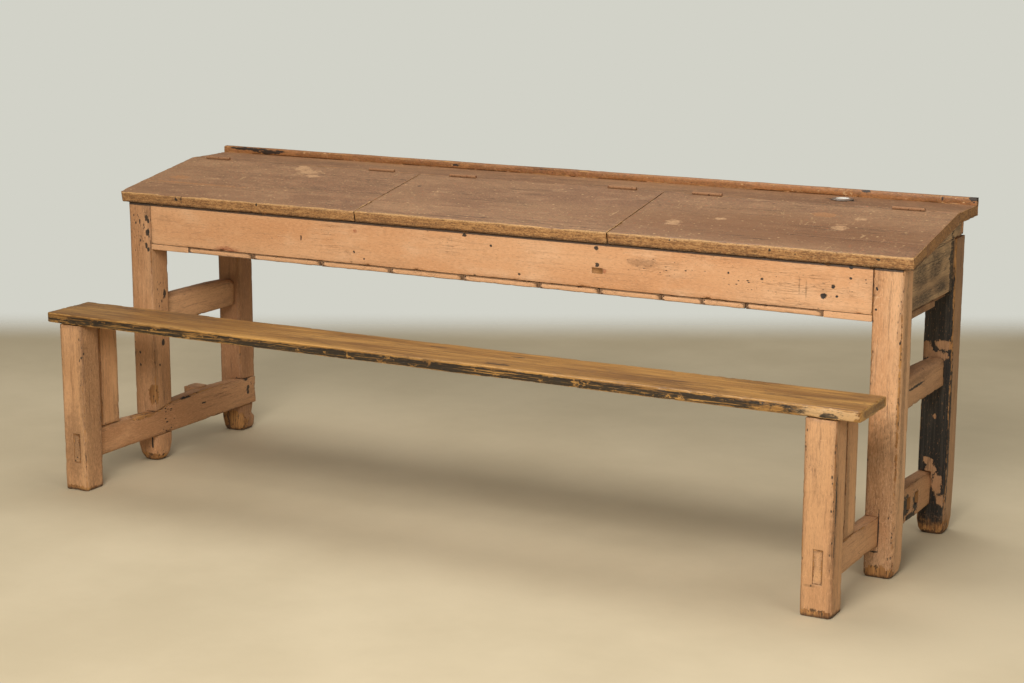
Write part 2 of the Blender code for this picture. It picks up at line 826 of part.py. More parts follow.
def add_lids(desk, shelf, top_paint, bare_wood, iron):
    """Three lids of two boards each, with battens below, hinged on the shelf's front edge."""
    rear_top = to_lid(hinge_line - SEAT, slope_height(hinge_line - SEAT))
    rear_bottom = to_lid(hinge_line - SEAT, slope_height(hinge_line - SEAT, LID_THICKNESS))
    top, bottom = rear_top[1], rear_top[1] - LID_THICKNESS
    nose = -(hinge_line + LID_NOSE) / cos(LID_SLOPE)
    joint = nose + LID_FRONT_BOARD
    front_outline = (
        (nose, bottom), (joint - SEAT / 2, bottom), (joint - SEAT / 2, top), (nose, top),
    )
    rear_outline = ((joint + SEAT / 2, bottom), rear_bottom, rear_top, (joint + SEAT / 2, top))
    for index, (word, (low, high)) in enumerate(lid_spans().items()):
        middle = (low + high) / 2
        axis = make_empty(f"lid_{word}_axis", (middle, hinge_line, hinge_height), desk, LID_SLOPE)
        x = (low - middle, high - middle)
        front_board = place(
            f"lid_{word}_front_board", prism(front_outline, "X", *x), axis, top_paint,
            pivot=(0.0, 0.0, 0.0),
        )
        rear_board = place(
            f"lid_{word}_rear_board", prism(rear_outline, "X", *x), axis, top_paint,
            pivot=(0.0, 0.0, 0.0),
        )
        ease(front_board)
        ease(rear_board)
        for end, letter in ((x[0] + BATTEN_INSET, "a"), (x[1] - BATTEN_INSET, "b")):
            batten = place(
                f"lid_{word}_batten_{letter}",
                block(
                    (end - BATTEN_WIDTH / 2, end + BATTEN_WIDTH / 2),
                    (nose + BATTEN_FRONT, -BATTEN_BACK),
                    (bottom - SEAT - BATTEN_THICKNESS, bottom - SEAT),
                ),
                axis,
                bare_wood,
            )
            ease(batten)
        for share, letter in zip(hinge_place_shares[index], "ab"):
            centre = low + share * (high - low)
            recess = helper(
                f"hinge_recess_{word}_{letter}",
                prism(
                    hinge_cutter_outline(), "X",
                    *grown(centre - HINGE_LENGTH / 2, centre + HINGE_LENGTH / 2),
                ),
                desk,
            )
            cut(rear_board, recess)
            cut(shelf, recess)
            add_hinge(f"{word}_{letter}", centre, desk, axis, middle, iron)


def knuckle_edges():
    """The x span of each knuckle along a hinge, measured from its middle."""
    pitch = HINGE_LENGTH / KNUCKLES
    start = -HINGE_LENGTH / 2
    return [
        (start + i * pitch + SEAT / 2, start + (i + 1) * pitch - SEAT / 2) for i in range(KNUCKLES)
    ]


def leaf_comb(own):
    """Outline (x, z) of a leaf's plate: it reaches the pin at its own knuckles only."""
    clear = -KNUCKLE_RADIUS - SEAT
    half = HINGE_LENGTH / 2
    outline = [(half, -LEAF_HEIGHT), (-half, -LEAF_HEIGHT)]
    for i, (low, high) in enumerate(knuckle_edges()):
        level = 0.0 if i % 2 == own else clear
        low = -half if i == 0 else low
        high = half if i == KNUCKLES - 1 else high
        if level == clear:
            low, high = (low - SEAT if i else low), (high + SEAT if i < KNUCKLES - 1 else high)
        outline += [(low, level), (high, level)]
    return outline


def add_hinge(tag, centre, desk, lid_axis, lid_middle, iron):
    """A butt hinge: interleaved knuckles, the pin fast in the fixed leaf's three."""
    edges = knuckle_edges()
    near, far = LEAF_OFFSET, LEAF_OFFSET + LEAF_THICKNESS
    fixed = place(
        f"hinge_fixed_{tag}", prism(leaf_comb(0), "Y", near, far), desk, iron, pivot=(0.0, 0.0, 0.0)
    )
    fixed.location = (centre, hinge_line, hinge_height)
    profile = [(edges[0][0], 0.0)]
    for i, (low, high) in enumerate(edges):
        if i % 2 == 0:
            profile += [(low, KNUCKLE_RADIUS), (high, KNUCKLE_RADIUS)]
        else:
            profile += [(edges[i - 1][1], PIN_RADIUS), (edges[i + 1][0], PIN_RADIUS)]
    profile.append((edges[-1][1], 0.0))
    shaft = helper(f"hinge_shaft_{tag}", turned(profile, "X", ROUND_SIDES), desk, (0.0, 0.0, 0.0))
    shaft.location = fixed.location
    join(fixed, shaft)

    moving = place(
        f"hinge_moving_{tag}", prism(leaf_comb(1), "Y", -far, -near), lid_axis, iron,
        pivot=(0.0, 0.0, 0.0),
    )
    barrels = merge_shapes(*(
        turned(((low, 0.0), (low, KNUCKLE_RADIUS), (high, KNUCKLE_RADIUS), (high, 0.0)), "X",
               ROUND_SIDES)
        for low, high in edges[1::2]
    ))
    bore = PIN_RADIUS + SEAT
    half = HINGE_LENGTH / 2 + OVERRUN
    hole = turned(((-half, 0.0), (-half, bore), (half, bore), (half, 0.0)), "X", ROUND_SIDES)
    for piece in (
        moving,
        helper(f"hinge_barrels_{tag}", barrels, lid_axis, (0.0, 0.0, 0.0)),
        helper(f"hinge_bore_{tag}", hole, lid_axis, (0.0, 0.0, 0.0)),
    ):
        piece.location = (centre - lid_middle, 0.0, 0.0)
        piece.rotation_euler.x = -LID_SLOPE
    join(moving, bpy.data.objects[f"hinge_barrels_{tag}"])
    cut(moving, bpy.data.objects[f"hinge_bore_{tag}"])
    shade_round(fixed)
    shade_round(moving)


def add_mid_rail(side, name, top_shares, desk, paint):
    """Mid rail between front and rear leg, its top edge rounded and worn down."""
    bottom = MID_RAIL_TOP - MID_RAIL_HEIGHT
    front, rear = LEG_DEPTH + SEAT, rear_leg_front - SEAT
    low, high = span(side, rail_inner, rail_outer)
    radius = rail_round_share * MID_RAIL_THICKNESS
    turns = [i * pi / 2 / (CORNER_POINTS - 1) for i in range(CORNER_POINTS)]
    rings = []
    for place_share, height_share in top_shares:
        y = front + place_share * (rear - front)
        top = bottom + height_share * MID_RAIL_HEIGHT
        left = [(low + radius * (1 - cos(t)), y, top - radius * (1 - sin(t))) for t in turns]
        right = [(low + high - x, y, z) for x, y, z in left[::-1]]
        rings.append([(low, y, bottom), *left, *right, (high, y, bottom)])
    rail = place(name, loft(rings), desk, paint)
    tongue = block(
        tenon_span(low, high),
        (LEG_DEPTH - TENON_LENGTH, rear_leg_front + TENON_LENGTH),
        rail_tenon_heights(),
    )
    join(rail, helper(name + "_tenons", tongue, desk))


def stub_spans():
    """x distances and heights of the sawn foot rail's stub on the left stretcher."""
    top = STRETCHER_BOTTOM + STRETCHER_HEIGHT + STUB_RISE
    return stretcher_outer - STUB_HOUSING, half_frame, top - STUB_HEIGHT, top


def add_foot_rail_stub(stretcher, desk, paint):
    """What is left of a foot rail: its sawn end, let into the top of the left stretcher."""
    inner, outer, bottom, top = stub_spans()
    y = (STUB_PLACE, STUB_PLACE + STUB_WIDTH)
    free = outer - inner
    rings = []
    for along_share, lost_share in stub_end_shares + ((1.0, 0.0),):
        x = -outer + along_share * free
        dy = lost_share * STUB_WIDTH
        dz = lost_share * STUB_HEIGHT
        rings.append([
            (x, y[0] + dy, bottom + dz), (x, y[1] - dy, bottom + dz),
            (x, y[1] - dy, top - dz), (x, y[0] + dy, top - dz),
        ])
    stub = place("foot_rail_stub", loft(rings), desk, paint)
    housing = block(
        (-stretcher_outer - OVERRUN, -inner + SEAT),
        grown(*y),
        (bottom - SEAT, top + OVERRUN),
    )
    cut(stretcher, helper("foot_rail_housing", housing, desk))
    return stub


def cut_empty_sockets(stretcher, desk):
    """Two empty pockets that the lost foot rail left in the right stretcher's outer face."""
    for i in range(2):
        y = STUB_PLACE + i * SOCKET_SPACING
        z = STRETCHER_BOTTOM + (STRETCHER_HEIGHT - SOCKET_HEIGHT) / 2
        pocket = block(
            (stretcher_outer - SOCKET_DEPTH, stretcher_outer + OVERRUN),
            (y, y + SOCKET_LENGTH),
            (z, z + SOCKET_HEIGHT),
        )
        cut(stretcher, helper(f"empty_socket_{i + 1}", pocket, desk))


def add_rails_and_stretchers(desk, paint):
    add_mid_rail(-1, "mid_rail_left", left_rail_shares, desk, paint)
    add_mid_rail(1, "mid_rail_right", right_rail_shares, desk, paint)
    left = add_lower_stretcher(-1, "lower_stretcher_left", desk, paint)
    right = add_lower_stretcher(1, "lower_stretcher_right", desk, paint)
    add_foot_rail_stub(left, desk, paint)
    cut_empty_sockets(right, desk)


def add_bench(desk, bare_wood, paint):
    """Seat plank on two legs that reach the floor and two posts that stand on the stretchers."""
    seat = place(
        "bench_seat",
        block((-seat_half, seat_half), (seat_front, seat_rear), (seat_bottom, SEAT_HEIGHT)),
        desk,
        bare_wood,
    )
    ease(seat, SEAT_EASE, 2)
    top = seat_bottom - SEAT
    for side, word in ((-1, "left"), (1, "right")):
        middle = stretcher_middle - (BENCH_RIGHT_INSET if side > 0 else 0.0)
        leg = place(
            f"bench_leg_{word}",
            block(
                span(side, middle - BENCH_LEG_WIDTH / 2, middle + BENCH_LEG_WIDTH / 2),
                (bench_leg_front, bench_leg_rear - SEAT),
                (0.0, top),
            ),
            desk,
            paint,
        )
        ease(leg, 2 * EASE, 2)
        mortise = block(
            span(side, *grown(stretcher_inner, stretcher_inner + STRETCHER_TENON)),
            (bench_leg_front - OVERRUN, bench_leg_rear + OVERRUN),
            grown(STRETCHER_BOTTOM, bench_top),
        )
        cut(leg, helper(f"bench_leg_{word}_mortise", mortise, desk))
        post = place(
            f"bench_post_{word}",
            block(span(side, stretcher_inner, stretcher_outer), (post_front, post_rear),
                  (bench_top + SEAT, top)),
            desk,
            paint,
        )
        ease(post)
        tongue = block(
            span(side, *grown(*tenon_span(stretcher_inner, stretcher_outer), -SEAT)),
            grown(post_front + TENON_SHOULDER, post_rear - TENON_SHOULDER, -SEAT),
            (bench_top - TENON_LENGTH + SEAT, bench_top + OVERRUN),
        )
        join(post, helper(f"bench_post_{word}_tenon", tongue, desk))


def main():
    clear_scene()
    paint = make_finish("worn_pink_paint", (0.56, 0.32, 0.19), 0.6)
    dark_paint = make_finish("pink_and_black_paint", (0.25, 0.16, 0.11), 0.6)
    top_paint = make_finish("mauve_brown_paint", (0.29, 0.17, 0.11), 0.5)
    dark_wood = make_finish("stained_end_wood", (0.24, 0.15, 0.09), 0.7)
    bare_wood = make_finish("bare_wood", (0.42, 0.25, 0.12), 0.65)
    iron = make_finish("rusty_iron", (0.17, 0.09, 0.05), 0.6, 0.6)
    ceramic = make_finish("white_ceramic", (0.8, 0.78, 0.72), 0.2)

    desk = make_empty("desk", (0.0, BENCH_REACH - overall_depth / 2, 0.0))
    add_desk_legs(desk, paint, dark_paint)
    add_front_apron(desk, paint)
    add_rear_apron(desk, paint)
    add_back_board(desk, paint)
    add_end_panels(desk, dark_wood)
    add_dividers(desk, bare_wood)
    add_floor_boards(desk, bare_wood)
    shelf = add_shelf(desk, top_paint)
    add_lip(desk, top_paint)
    add_inkwell(desk, ceramic)
    add_lids(desk, shelf, top_paint, bare_wood, iron)
    add_rails_and_stretchers(desk, paint)
    add_bench(desk, bare_wood, paint)


main()
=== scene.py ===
"""The looks of an old school desk with its bench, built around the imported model.

Metres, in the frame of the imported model: X along the desk, Y from the sitter to the back, Z up.
Every board is rebuilt as a worn surface: a rounded section carried along the board's length, its
arrises rubbed down and its faces sunk a little by seeded noise. Paint, wood and rust are worked
out from two things that each board's mesh carries: how far a point lies from the nearest arris,
and where it lies along, across and through the board.
"""
from math import cos, pi, radians, sin, tan

import bpy
import numpy as np
from mathutils import Matrix, Vector


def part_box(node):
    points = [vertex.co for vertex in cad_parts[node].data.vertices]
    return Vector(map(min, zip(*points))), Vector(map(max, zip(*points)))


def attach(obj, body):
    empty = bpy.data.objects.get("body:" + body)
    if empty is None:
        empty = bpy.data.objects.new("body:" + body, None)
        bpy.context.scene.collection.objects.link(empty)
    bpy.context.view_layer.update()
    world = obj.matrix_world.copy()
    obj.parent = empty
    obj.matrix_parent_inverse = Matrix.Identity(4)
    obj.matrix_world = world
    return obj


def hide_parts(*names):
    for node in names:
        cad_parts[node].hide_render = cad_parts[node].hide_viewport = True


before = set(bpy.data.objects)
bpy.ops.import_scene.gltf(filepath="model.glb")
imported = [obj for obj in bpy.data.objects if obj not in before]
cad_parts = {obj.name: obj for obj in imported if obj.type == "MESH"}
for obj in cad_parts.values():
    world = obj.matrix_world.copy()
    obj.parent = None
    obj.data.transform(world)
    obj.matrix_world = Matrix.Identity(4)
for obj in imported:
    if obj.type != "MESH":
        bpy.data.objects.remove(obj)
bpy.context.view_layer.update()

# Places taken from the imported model
SHELF_LOW, SHELF_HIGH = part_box("ink_shelf")
SEAT_LOW, SEAT_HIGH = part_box("bench_seat")
FRONT_LEG_LOW, FRONT_LEG_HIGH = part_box("desk_leg_front_right")
REAR_LEG_LOW, REAR_LEG_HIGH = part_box("desk_leg_rear_right")
INNER_FACE = FRONT_LEG_LOW.x
OUTER_FACE = FRONT_LEG_HIGH.x
LEG_WIDTH = OUTER_FACE - INNER_FACE
HINGE_Y = SHELF_LOW.y
TOP_Z = SHELF_HIGH.z
LID_NOSE_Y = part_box("lid_left_front_board")[0].y

# Sizes of the model that its boxes don't give
LID_SLOPE = radians(10.2)
LID_THICKNESS = 0.029
LID_FRONT_BOARD = 0.093
TENON_WIDTH = 0.020
FIT = 0.0003

# Front edge of the lids, along their slope from the hinge line
LID_NOSE = -(HINGE_Y - LID_NOSE_Y) / cos(LID_SLOPE)

# A board's surface: points in a corner's arc, pitch of its mesh, and the sizes of the rings that
# close its ends, as shares of its section
ARC_POINTS = 5
PITCH = 0.005
CAP_SHARES = (0.82, 0.55, 0.25)
# Unevenness of its faces, and where wear fades in beside a side that is spared
UNEVEN = 0.0004
SPARED_NEAR, SPARED_FAR = 0.001, 0.014

# How far a shape that cuts stands out of the piece that it cuts
OVERRUN = 0.01

AXES = {"X": (0, 1, 2), "Y": (1, 2, 0), "Z": (2, 0, 1)}


# Noise and wear


def lattice(cell, seed):
    """One repeatable number from 0 to 1 for each lattice cell, from its whole-number place."""
    mixed = cell[..., 0] * 374761393 + cell[..., 1] * 668265263 + cell[..., 2] * 974634777
    mixed = (mixed + seed * 1274126177) & 0xFFFFFFFF
    mixed = ((mixed ^ (mixed >> 13)) * 1274126177) & 0xFFFFFFFF
    return ((mixed ^ (mixed >> 16)) & 0xFFFF) / 65535.0


def noise(points, size, seed, octaves=2):
    """Smooth noise from 0 to 1: lattice numbers blended by an eased cube, finer octaves halved."""
    total = np.zeros(points.shape[:-1])
    weight = 0.0
    for octave in range(octaves):
        share = 0.5 ** octave
        place = points / (np.asarray(size) * share)
        cell = np.floor(place).astype(np.int64)
        part = place - cell
        part = part * part * (3 - 2 * part)
        value = np.zeros(points.shape[:-1])
        for corner in range(8):
            step = np.array([corner & 1, corner >> 1 & 1, corner >> 2])
            pull = np.where(step, part, 1 - part).prod(axis=-1)
            value += pull * lattice(cell + step, seed + octave)
        total += share * value
        weight += share
    return total / weight


def eased(value, low, high):
    """0 below low, 1 above high, and a smooth rise between; low may be the greater one."""
    part = np.clip((value - low) / (high - low), 0.0, 1.0)
    return part * part * (3 - 2 * part)


# Surfaces


def rounded_section(sides, radii, counts):
    """A rectangle with four round corners, for every station at once.

    A point of an arc is the corner's centre plus the radius times the cosine and sine of its
    angle. A point of a straight run is a blend of the ends of the two arcs beside it.
    """
    a_low, a_high, b_low, b_high = sides
    turns = np.linspace(0.0, pi / 2, ARC_POINTS)
    arcs, normals = [], []
    for corner in range(4):
        angle = turns + corner * pi / 2
        radius = radii[:, corner]
        a_centre = a_high - radius if corner in (0, 3) else a_low + radius
        b_centre = b_high - radius if corner in (0, 1) else b_low + radius
        out = np.stack([np.cos(angle), np.sin(angle)], axis=-1)
        centre = np.stack([a_centre, b_centre], axis=-1)
        arcs.append(centre[:, None] + radius[:, None, None] * out)
        normals.append(np.broadcast_to(out, arcs[-1].shape))
    points, outward = [], []
    for corner in range(4):
        start, end = arcs[corner][:, -1:], arcs[(corner + 1) % 4][:, :1]
        share = np.linspace(0.0, 1.0, counts[corner % 2] + 2)[None, 1:-1, None]
        run = start * (1 - share) + end * share
        points += [arcs[corner], run]
        outward += [normals[corner], np.broadcast_to(normals[corner][:, -1:], run.shape)]
    return np.concatenate(points, axis=1), np.concatenate(outward, axis=1)


def tube_faces(rings, around):
    """Quads between neighbouring rings, and a fan on a pole at each end."""
    ring = np.arange(rings - 1)[:, None] * around
    here = np.arange(around)
    after = (here + 1) % around
    quads = np.stack([ring + here, ring + after, ring + around + after, ring + around + here], -1)
    start_pole, end_pole = rings * around, rings * around + 1
    last = (rings - 1) * around
    start_fan = np.stack([np.full(around, start_pole), after, here], -1)
    end_fan = np.stack([np.full(around, end_pole), last + here, last + after], -1)
    return quads.reshape(-1, 4), np.concatenate([start_fan, end_fan])


def make_mesh(name, points, quads, triangles=()):
    """Puts arrays of points and faces into a new object at the origin, shaded smooth."""
    mesh = bpy.data.meshes.new(name)
    triangles = np.asarray(triangles, dtype=np.int64).reshape(-1, 3)
    quads = np.asarray(quads, dtype=np.int64).reshape(-1, 4)
    loops = np.concatenate([quads.ravel(), triangles.ravel()])
    sizes = np.concatenate([np.full(len(quads), 4), np.full(len(triangles), 3)])
    mesh.vertices.add(len(points))
    mesh.vertices.foreach_set("co", np.asarray(points, dtype=np.float32).ravel())
    mesh.loops.add(len(loops))
    mesh.loops.foreach_set("vertex_index", loops.astype(np.int32))
    mesh.polygons.add(len(sizes))
    starts = np.concatenate([[0], np.cumsum(sizes)[:-1]])
    mesh.polygons.foreach_set("loop_start", starts.astype(np.int32))
    mesh.polygons.foreach_set("use_smooth", np.ones(len(sizes), dtype=bool))
    mesh.update(calc_edges=True)
    made = bpy.data.objects.new(name, mesh)
    bpy.context.scene.collection.objects.link(made)
    return made


def carry(made, key, values):
    """Stores a number or a vector for each point of a mesh."""
    kind, field = ("FLOAT", "value") if values.ndim == 1 else ("FLOAT_VECTOR", "vector")
    attribute = made.data.attributes.new(key, kind, "POINT")
    attribute.data.foreach_set(field, values.astype(np.float32).ravel())


def flat_sides(low, high):
    """The four sides of a straight board, the same at every station."""
    def sides(along):
        return [np.full(len(along), value) for value in (low[0], high[0], low[1], high[1])]
    return sides


def rounded_front(low, high, left, right):
    """Sides of a board along X whose two front corners are arcs of the given radii in plan."""
    def sides(x):
        values = flat_sides(low[1:], high[1:])(x)
        for radius, far in ((left, x - low[0]), (right, high[0] - x)):
            short = np.clip(radius - far, 0.0, radius)
            values[0] = values[0] + radius - np.sqrt(radius ** 2 - short ** 2)
        return values
    return sides


def edged(low, high, top, bottom=None):
    """Sides of a board along Y whose top edge, and its bottom edge if given, are heights at y."""
    def sides(y):
        under = bottom(y) if bottom else np.full(len(y), low.z)
        return [under, top(y), np.full(len(y), low.x), np.full(len(y), high.x)]
    return sides


def stepped_edge(bottom, top, places, shares):
    """Height of a worn top edge at y: straight runs through shares of the height at places."""
    return lambda y: bottom + (top - bottom) * np.interp(y, places, shares)


def same_corners(*radii):
    """The four corner radii of a board, the same at every station."""
    return lambda along: np.tile(radii, (len(along), 1))


def board(name, low, high, along, finish, body, stands_for, corner=0.0012, worn=0.0012,
          reach=0.007, sides=None, corners=None, bend=None, gouges=(), pitch=PITCH, seed=0,
          spared=()):
    """A worn board: a rounded rectangle carried along its length, closed by inset rings.

    Each point moves inwards by the wear at its place: the most at an arris, fading over reach,
    times a streaky noise, plus a slight unevenness of the faces and the gouges given, each one a
    round hollow that fades from its middle. Wear fades out towards the sides that are spared,
    which are rows of bounds: 0 and 1 are the low and high side across the board.
    """
    order = AXES[along]
    low, high = np.array(low, float)[list(order)], np.array(high, float)[list(order)]
    inset = corner * (1 - np.cos(np.linspace(0.0, pi / 2, 4)))
    shrink = corner * (1 - np.sin(np.linspace(0.0, pi / 2, 4)))
    count = max(3, int(round((high[0] - low[0] - 2 * corner) / pitch)))
    middle = np.linspace(low[0] + corner, high[0] - corner, count + 1)[1:-1]
    stations = np.concatenate([low[0] + inset, middle, high[0] - inset[::-1]])
    shrink = np.concatenate([shrink, np.zeros(len(middle)), shrink[::-1]])
    side_values = np.stack((sides or flat_sides(low[1:], high[1:]))(stations))
    side_values = side_values + np.array([1, -1, 1, -1])[:, None] * shrink
    if corners is None:
        radii = np.full((len(stations), 4), corner)
    else:
        radii = corners(stations)
    radii = np.maximum(radii - shrink[:, None], corner * 0.1)
    counts = [max(2, int(span / pitch)) for span in (high[1] - low[1], high[2] - low[2])]
    section, outward = rounded_section(side_values, radii, counts)
    around = section.shape[1]
    local = np.empty((len(stations), around, 3))
    local[..., 0] = stations[:, None]
    local[..., 1:] = section
    normal = np.zeros_like(local)
    normal[..., 1:] = outward
    lean = (shrink / corner)[:, None] * np.where(np.arange(len(stations)) < 5, -1.0, 1.0)[:, None]
    normal[..., 0] = lean
    normal[..., 1:] *= np.sqrt(1 - np.clip(np.abs(lean), 0, 1) ** 2)[..., None]

    caps = []
    for end in (0, -1):
        centre = local[end].mean(axis=0)
        rings = [centre + (local[end] - centre) * share for share in CAP_SHARES]
        caps.append((centre, np.stack(rings)))
    start = caps[0][1][::-1]
    local = np.concatenate([start, local, caps[1][1]])
    face = np.zeros_like(start)
    face[..., 0] = -1.0
    normal = np.concatenate([face, normal, -face])
    rings = len(local)
    points = np.concatenate([local.reshape(-1, 3), [caps[0][0]], [caps[1][0]]])
    normal = np.concatenate([normal.reshape(-1, 3), [[-1.0, 0, 0]], [[1.0, 0, 0]]])

    at = np.concatenate([[stations[0]] * 3, stations, [stations[-1]] * 3])
    bounds = np.stack([np.interp(at, stations, row) for row in side_values])
    bounds = np.repeat(bounds[:, :, None], around, axis=2).reshape(4, -1)
    bounds = np.concatenate([bounds, bounds[:, [0]], bounds[:, [-1]]], axis=1)
    depth = np.stack([
        np.minimum(points[:, 0] - low[0], high[0] - points[:, 0]),
        np.minimum(points[:, 1] - bounds[0], bounds[1] - points[:, 1]),
        np.minimum(points[:, 2] - bounds[2], bounds[3] - points[:, 2]),
    ])
    arris = np.maximum(np.sort(depth, axis=0)[1], 0.0)

    shifted = points + np.array([3.71, 1.13, 0.57]) * (seed + 1)
    rub = noise(shifted, (0.11, 0.03, 0.03), seed, 2)
    nibble = noise(shifted, (0.020, 0.011, 0.011), seed + 3, 2)
    dips = noise(shifted, (0.16, 0.035, 0.035), seed + 5, 2)
    rubbed = 0.25 + 0.8 * eased(rub, 0.35, 0.7) + 1.7 * eased(nibble, 0.60, 0.80)
    wear = worn * eased(arris, reach, 0.0) * rubbed
    for row in spared:
        wear = wear * eased(np.abs(points[:, 1] - bounds[row]), SPARED_NEAR, SPARED_FAR)
    wear = wear + UNEVEN * dips
    placed = np.empty_like(points)
    placed[:, list(order)] = points
    for (x, y, z, size, deep) in gouges:
        far = np.linalg.norm((placed - (x, y, z)) / size, axis=1)
        wear += deep * eased(far, 1.0, 0.25) * (0.6 + 0.8 * rub)
    moved = points - normal * wear[:, None]
    placed[:, list(order)] = moved
    if bend is not None:
        placed = bend(placed)

    quads, fans = tube_faces(rings, around)
    made = make_mesh(name, placed, quads, fans)
    carry(made, "arris", arris)
    carry(made, "inside", np.stack([points[:, 0] - low[0], points[:, 1] - bounds[0],
                                    points[:, 2] - bounds[2]], axis=-1))
    carry(made, "grain", shifted)
    end = np.zeros(rings)
    end[:3] = end[-3:] = 1.0
    carry(made, "end", np.concatenate([np.repeat(end, around), [1.0, 1.0]]))
    made.data.materials.append(finish)
    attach(made, body)
    if stands_for:
        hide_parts(*stands_for)
    return made


def box_mesh(name, spans, tops=None):
    """Several plain boxes in one mesh, as tools to cut with; each span is (low, high) corners.

    Tops, when given, are the heights of the tops at the boxes' front and rear faces.
    """
    corners = np.array([[x, y, z] for x in (0, 1) for y in (0, 1) for z in (0, 1)], float)
    faces = np.array([
        [0, 1, 3, 2], [4, 6, 7, 5], [0, 4, 5, 1], [2, 3, 7, 6], [0, 2, 6, 4], [1, 5, 7, 3],
    ])
    points = [np.array(low) + corners * (np.array(high) - np.array(low)) for low, high in spans]
    if tops is not None:
        is_top = corners[:, 2] > 0
        for box in points:
            box[is_top, 2] = np.where(corners[is_top, 1] > 0, tops[1], tops[0])
    quads = [faces + 8 * i for i in range(len(spans))]
    return make_mesh(name, np.concatenate(points), np.concatenate(quads))


def cut(piece, tool):
    """Takes the tool's shape out of a piece and removes the tool."""
    trim = piece.modifiers.new("trim", "BOOLEAN")
    trim.operation = "DIFFERENCE"
    trim.solver = "MANIFOLD"
    trim.object = tool
    bpy.context.view_layer.update()
    result = bpy.data.meshes.new_from_object(
        piece.evaluated_get(bpy.context.evaluated_depsgraph_get())
    )
    piece.modifiers.clear()
    piece.data = result
    bpy.data.objects.remove(tool)


def heads(name, places, facing, radius, rise, finish, body):
    """Nail heads or screw heads: low domes of three rings and a pole, all in one mesh."""
    facing = Vector(facing).normalized()
    side = facing.orthogonal().normalized()
    other = facing.cross(side)
    angle = np.linspace(0.0, 2 * pi, 10, endpoint=False)
    ring = np.cos(angle)[:, None] * np.array(side) + np.sin(angle)[:, None] * np.array(other)
    shares = ((1.0, -1.5), (1.0, 0.35), (0.6, 1.0))
    points, quads, fans = [], [], []
    for i, place in enumerate(places):
        size = radius * (0.8 + 0.4 * lattice(np.array([i, 7, 3]), 11))
        base = np.array(place, float)
        rings = [base + ring * size * out + np.array(facing) * rise * up for out, up in shares]
        poles = [base - np.array(facing) * rise * 1.5, base + np.array(facing) * rise]
        around = len(angle)
        some_quads, some_fans = tube_faces(len(shares), around)
        shift = i * (len(shares) * around + 2)
        points += rings + [np.array(poles)]
        quads.append(some_quads + shift)
        fans.append(some_fans + shift)
    made = make_mesh(name, np.concatenate(points), np.concatenate(quads), np.concatenate(fans))
    made.data.materials.append(finish)
    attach(made, body)
    return made


# Finishes


class Link:
    """A socket in a finish's node tree; sums on it add the Math nodes they need."""

    def __init__(self, finish, socket):
        self.finish = finish
        self.socket = socket

    def math(self, operation, *values):
        return self.finish.node("ShaderNodeMath", {"operation": operation}, values)

    def __add__(self, other):
        return self.math("ADD", self, other)

    def __sub__(self, other):
        return self.math("SUBTRACT", self, other)

    def __rsub__(self, other):
        return self.math("SUBTRACT", other, self)

    def __mul__(self, other):
        return self.math("MULTIPLY", self, other)

    __radd__ = __add__
    __rmul__ = __mul__

    def most(self, other):
        return self.math("MAXIMUM", self, other)

    def ease(self, low, high):
        """0 at low, 1 at high, and a smooth rise between."""
        return self.finish.node(
            "ShaderNodeMapRange", {"interpolation_type": "SMOOTHSTEP"}, (self, low, high, 0.0, 1.0)
        )

    def line(self, width):
        """1 on the lines where a noise crosses its middle value, 0 further off than the width."""
        return self.math("ABSOLUTE", self - 0.5).ease(width, width * 0.3)


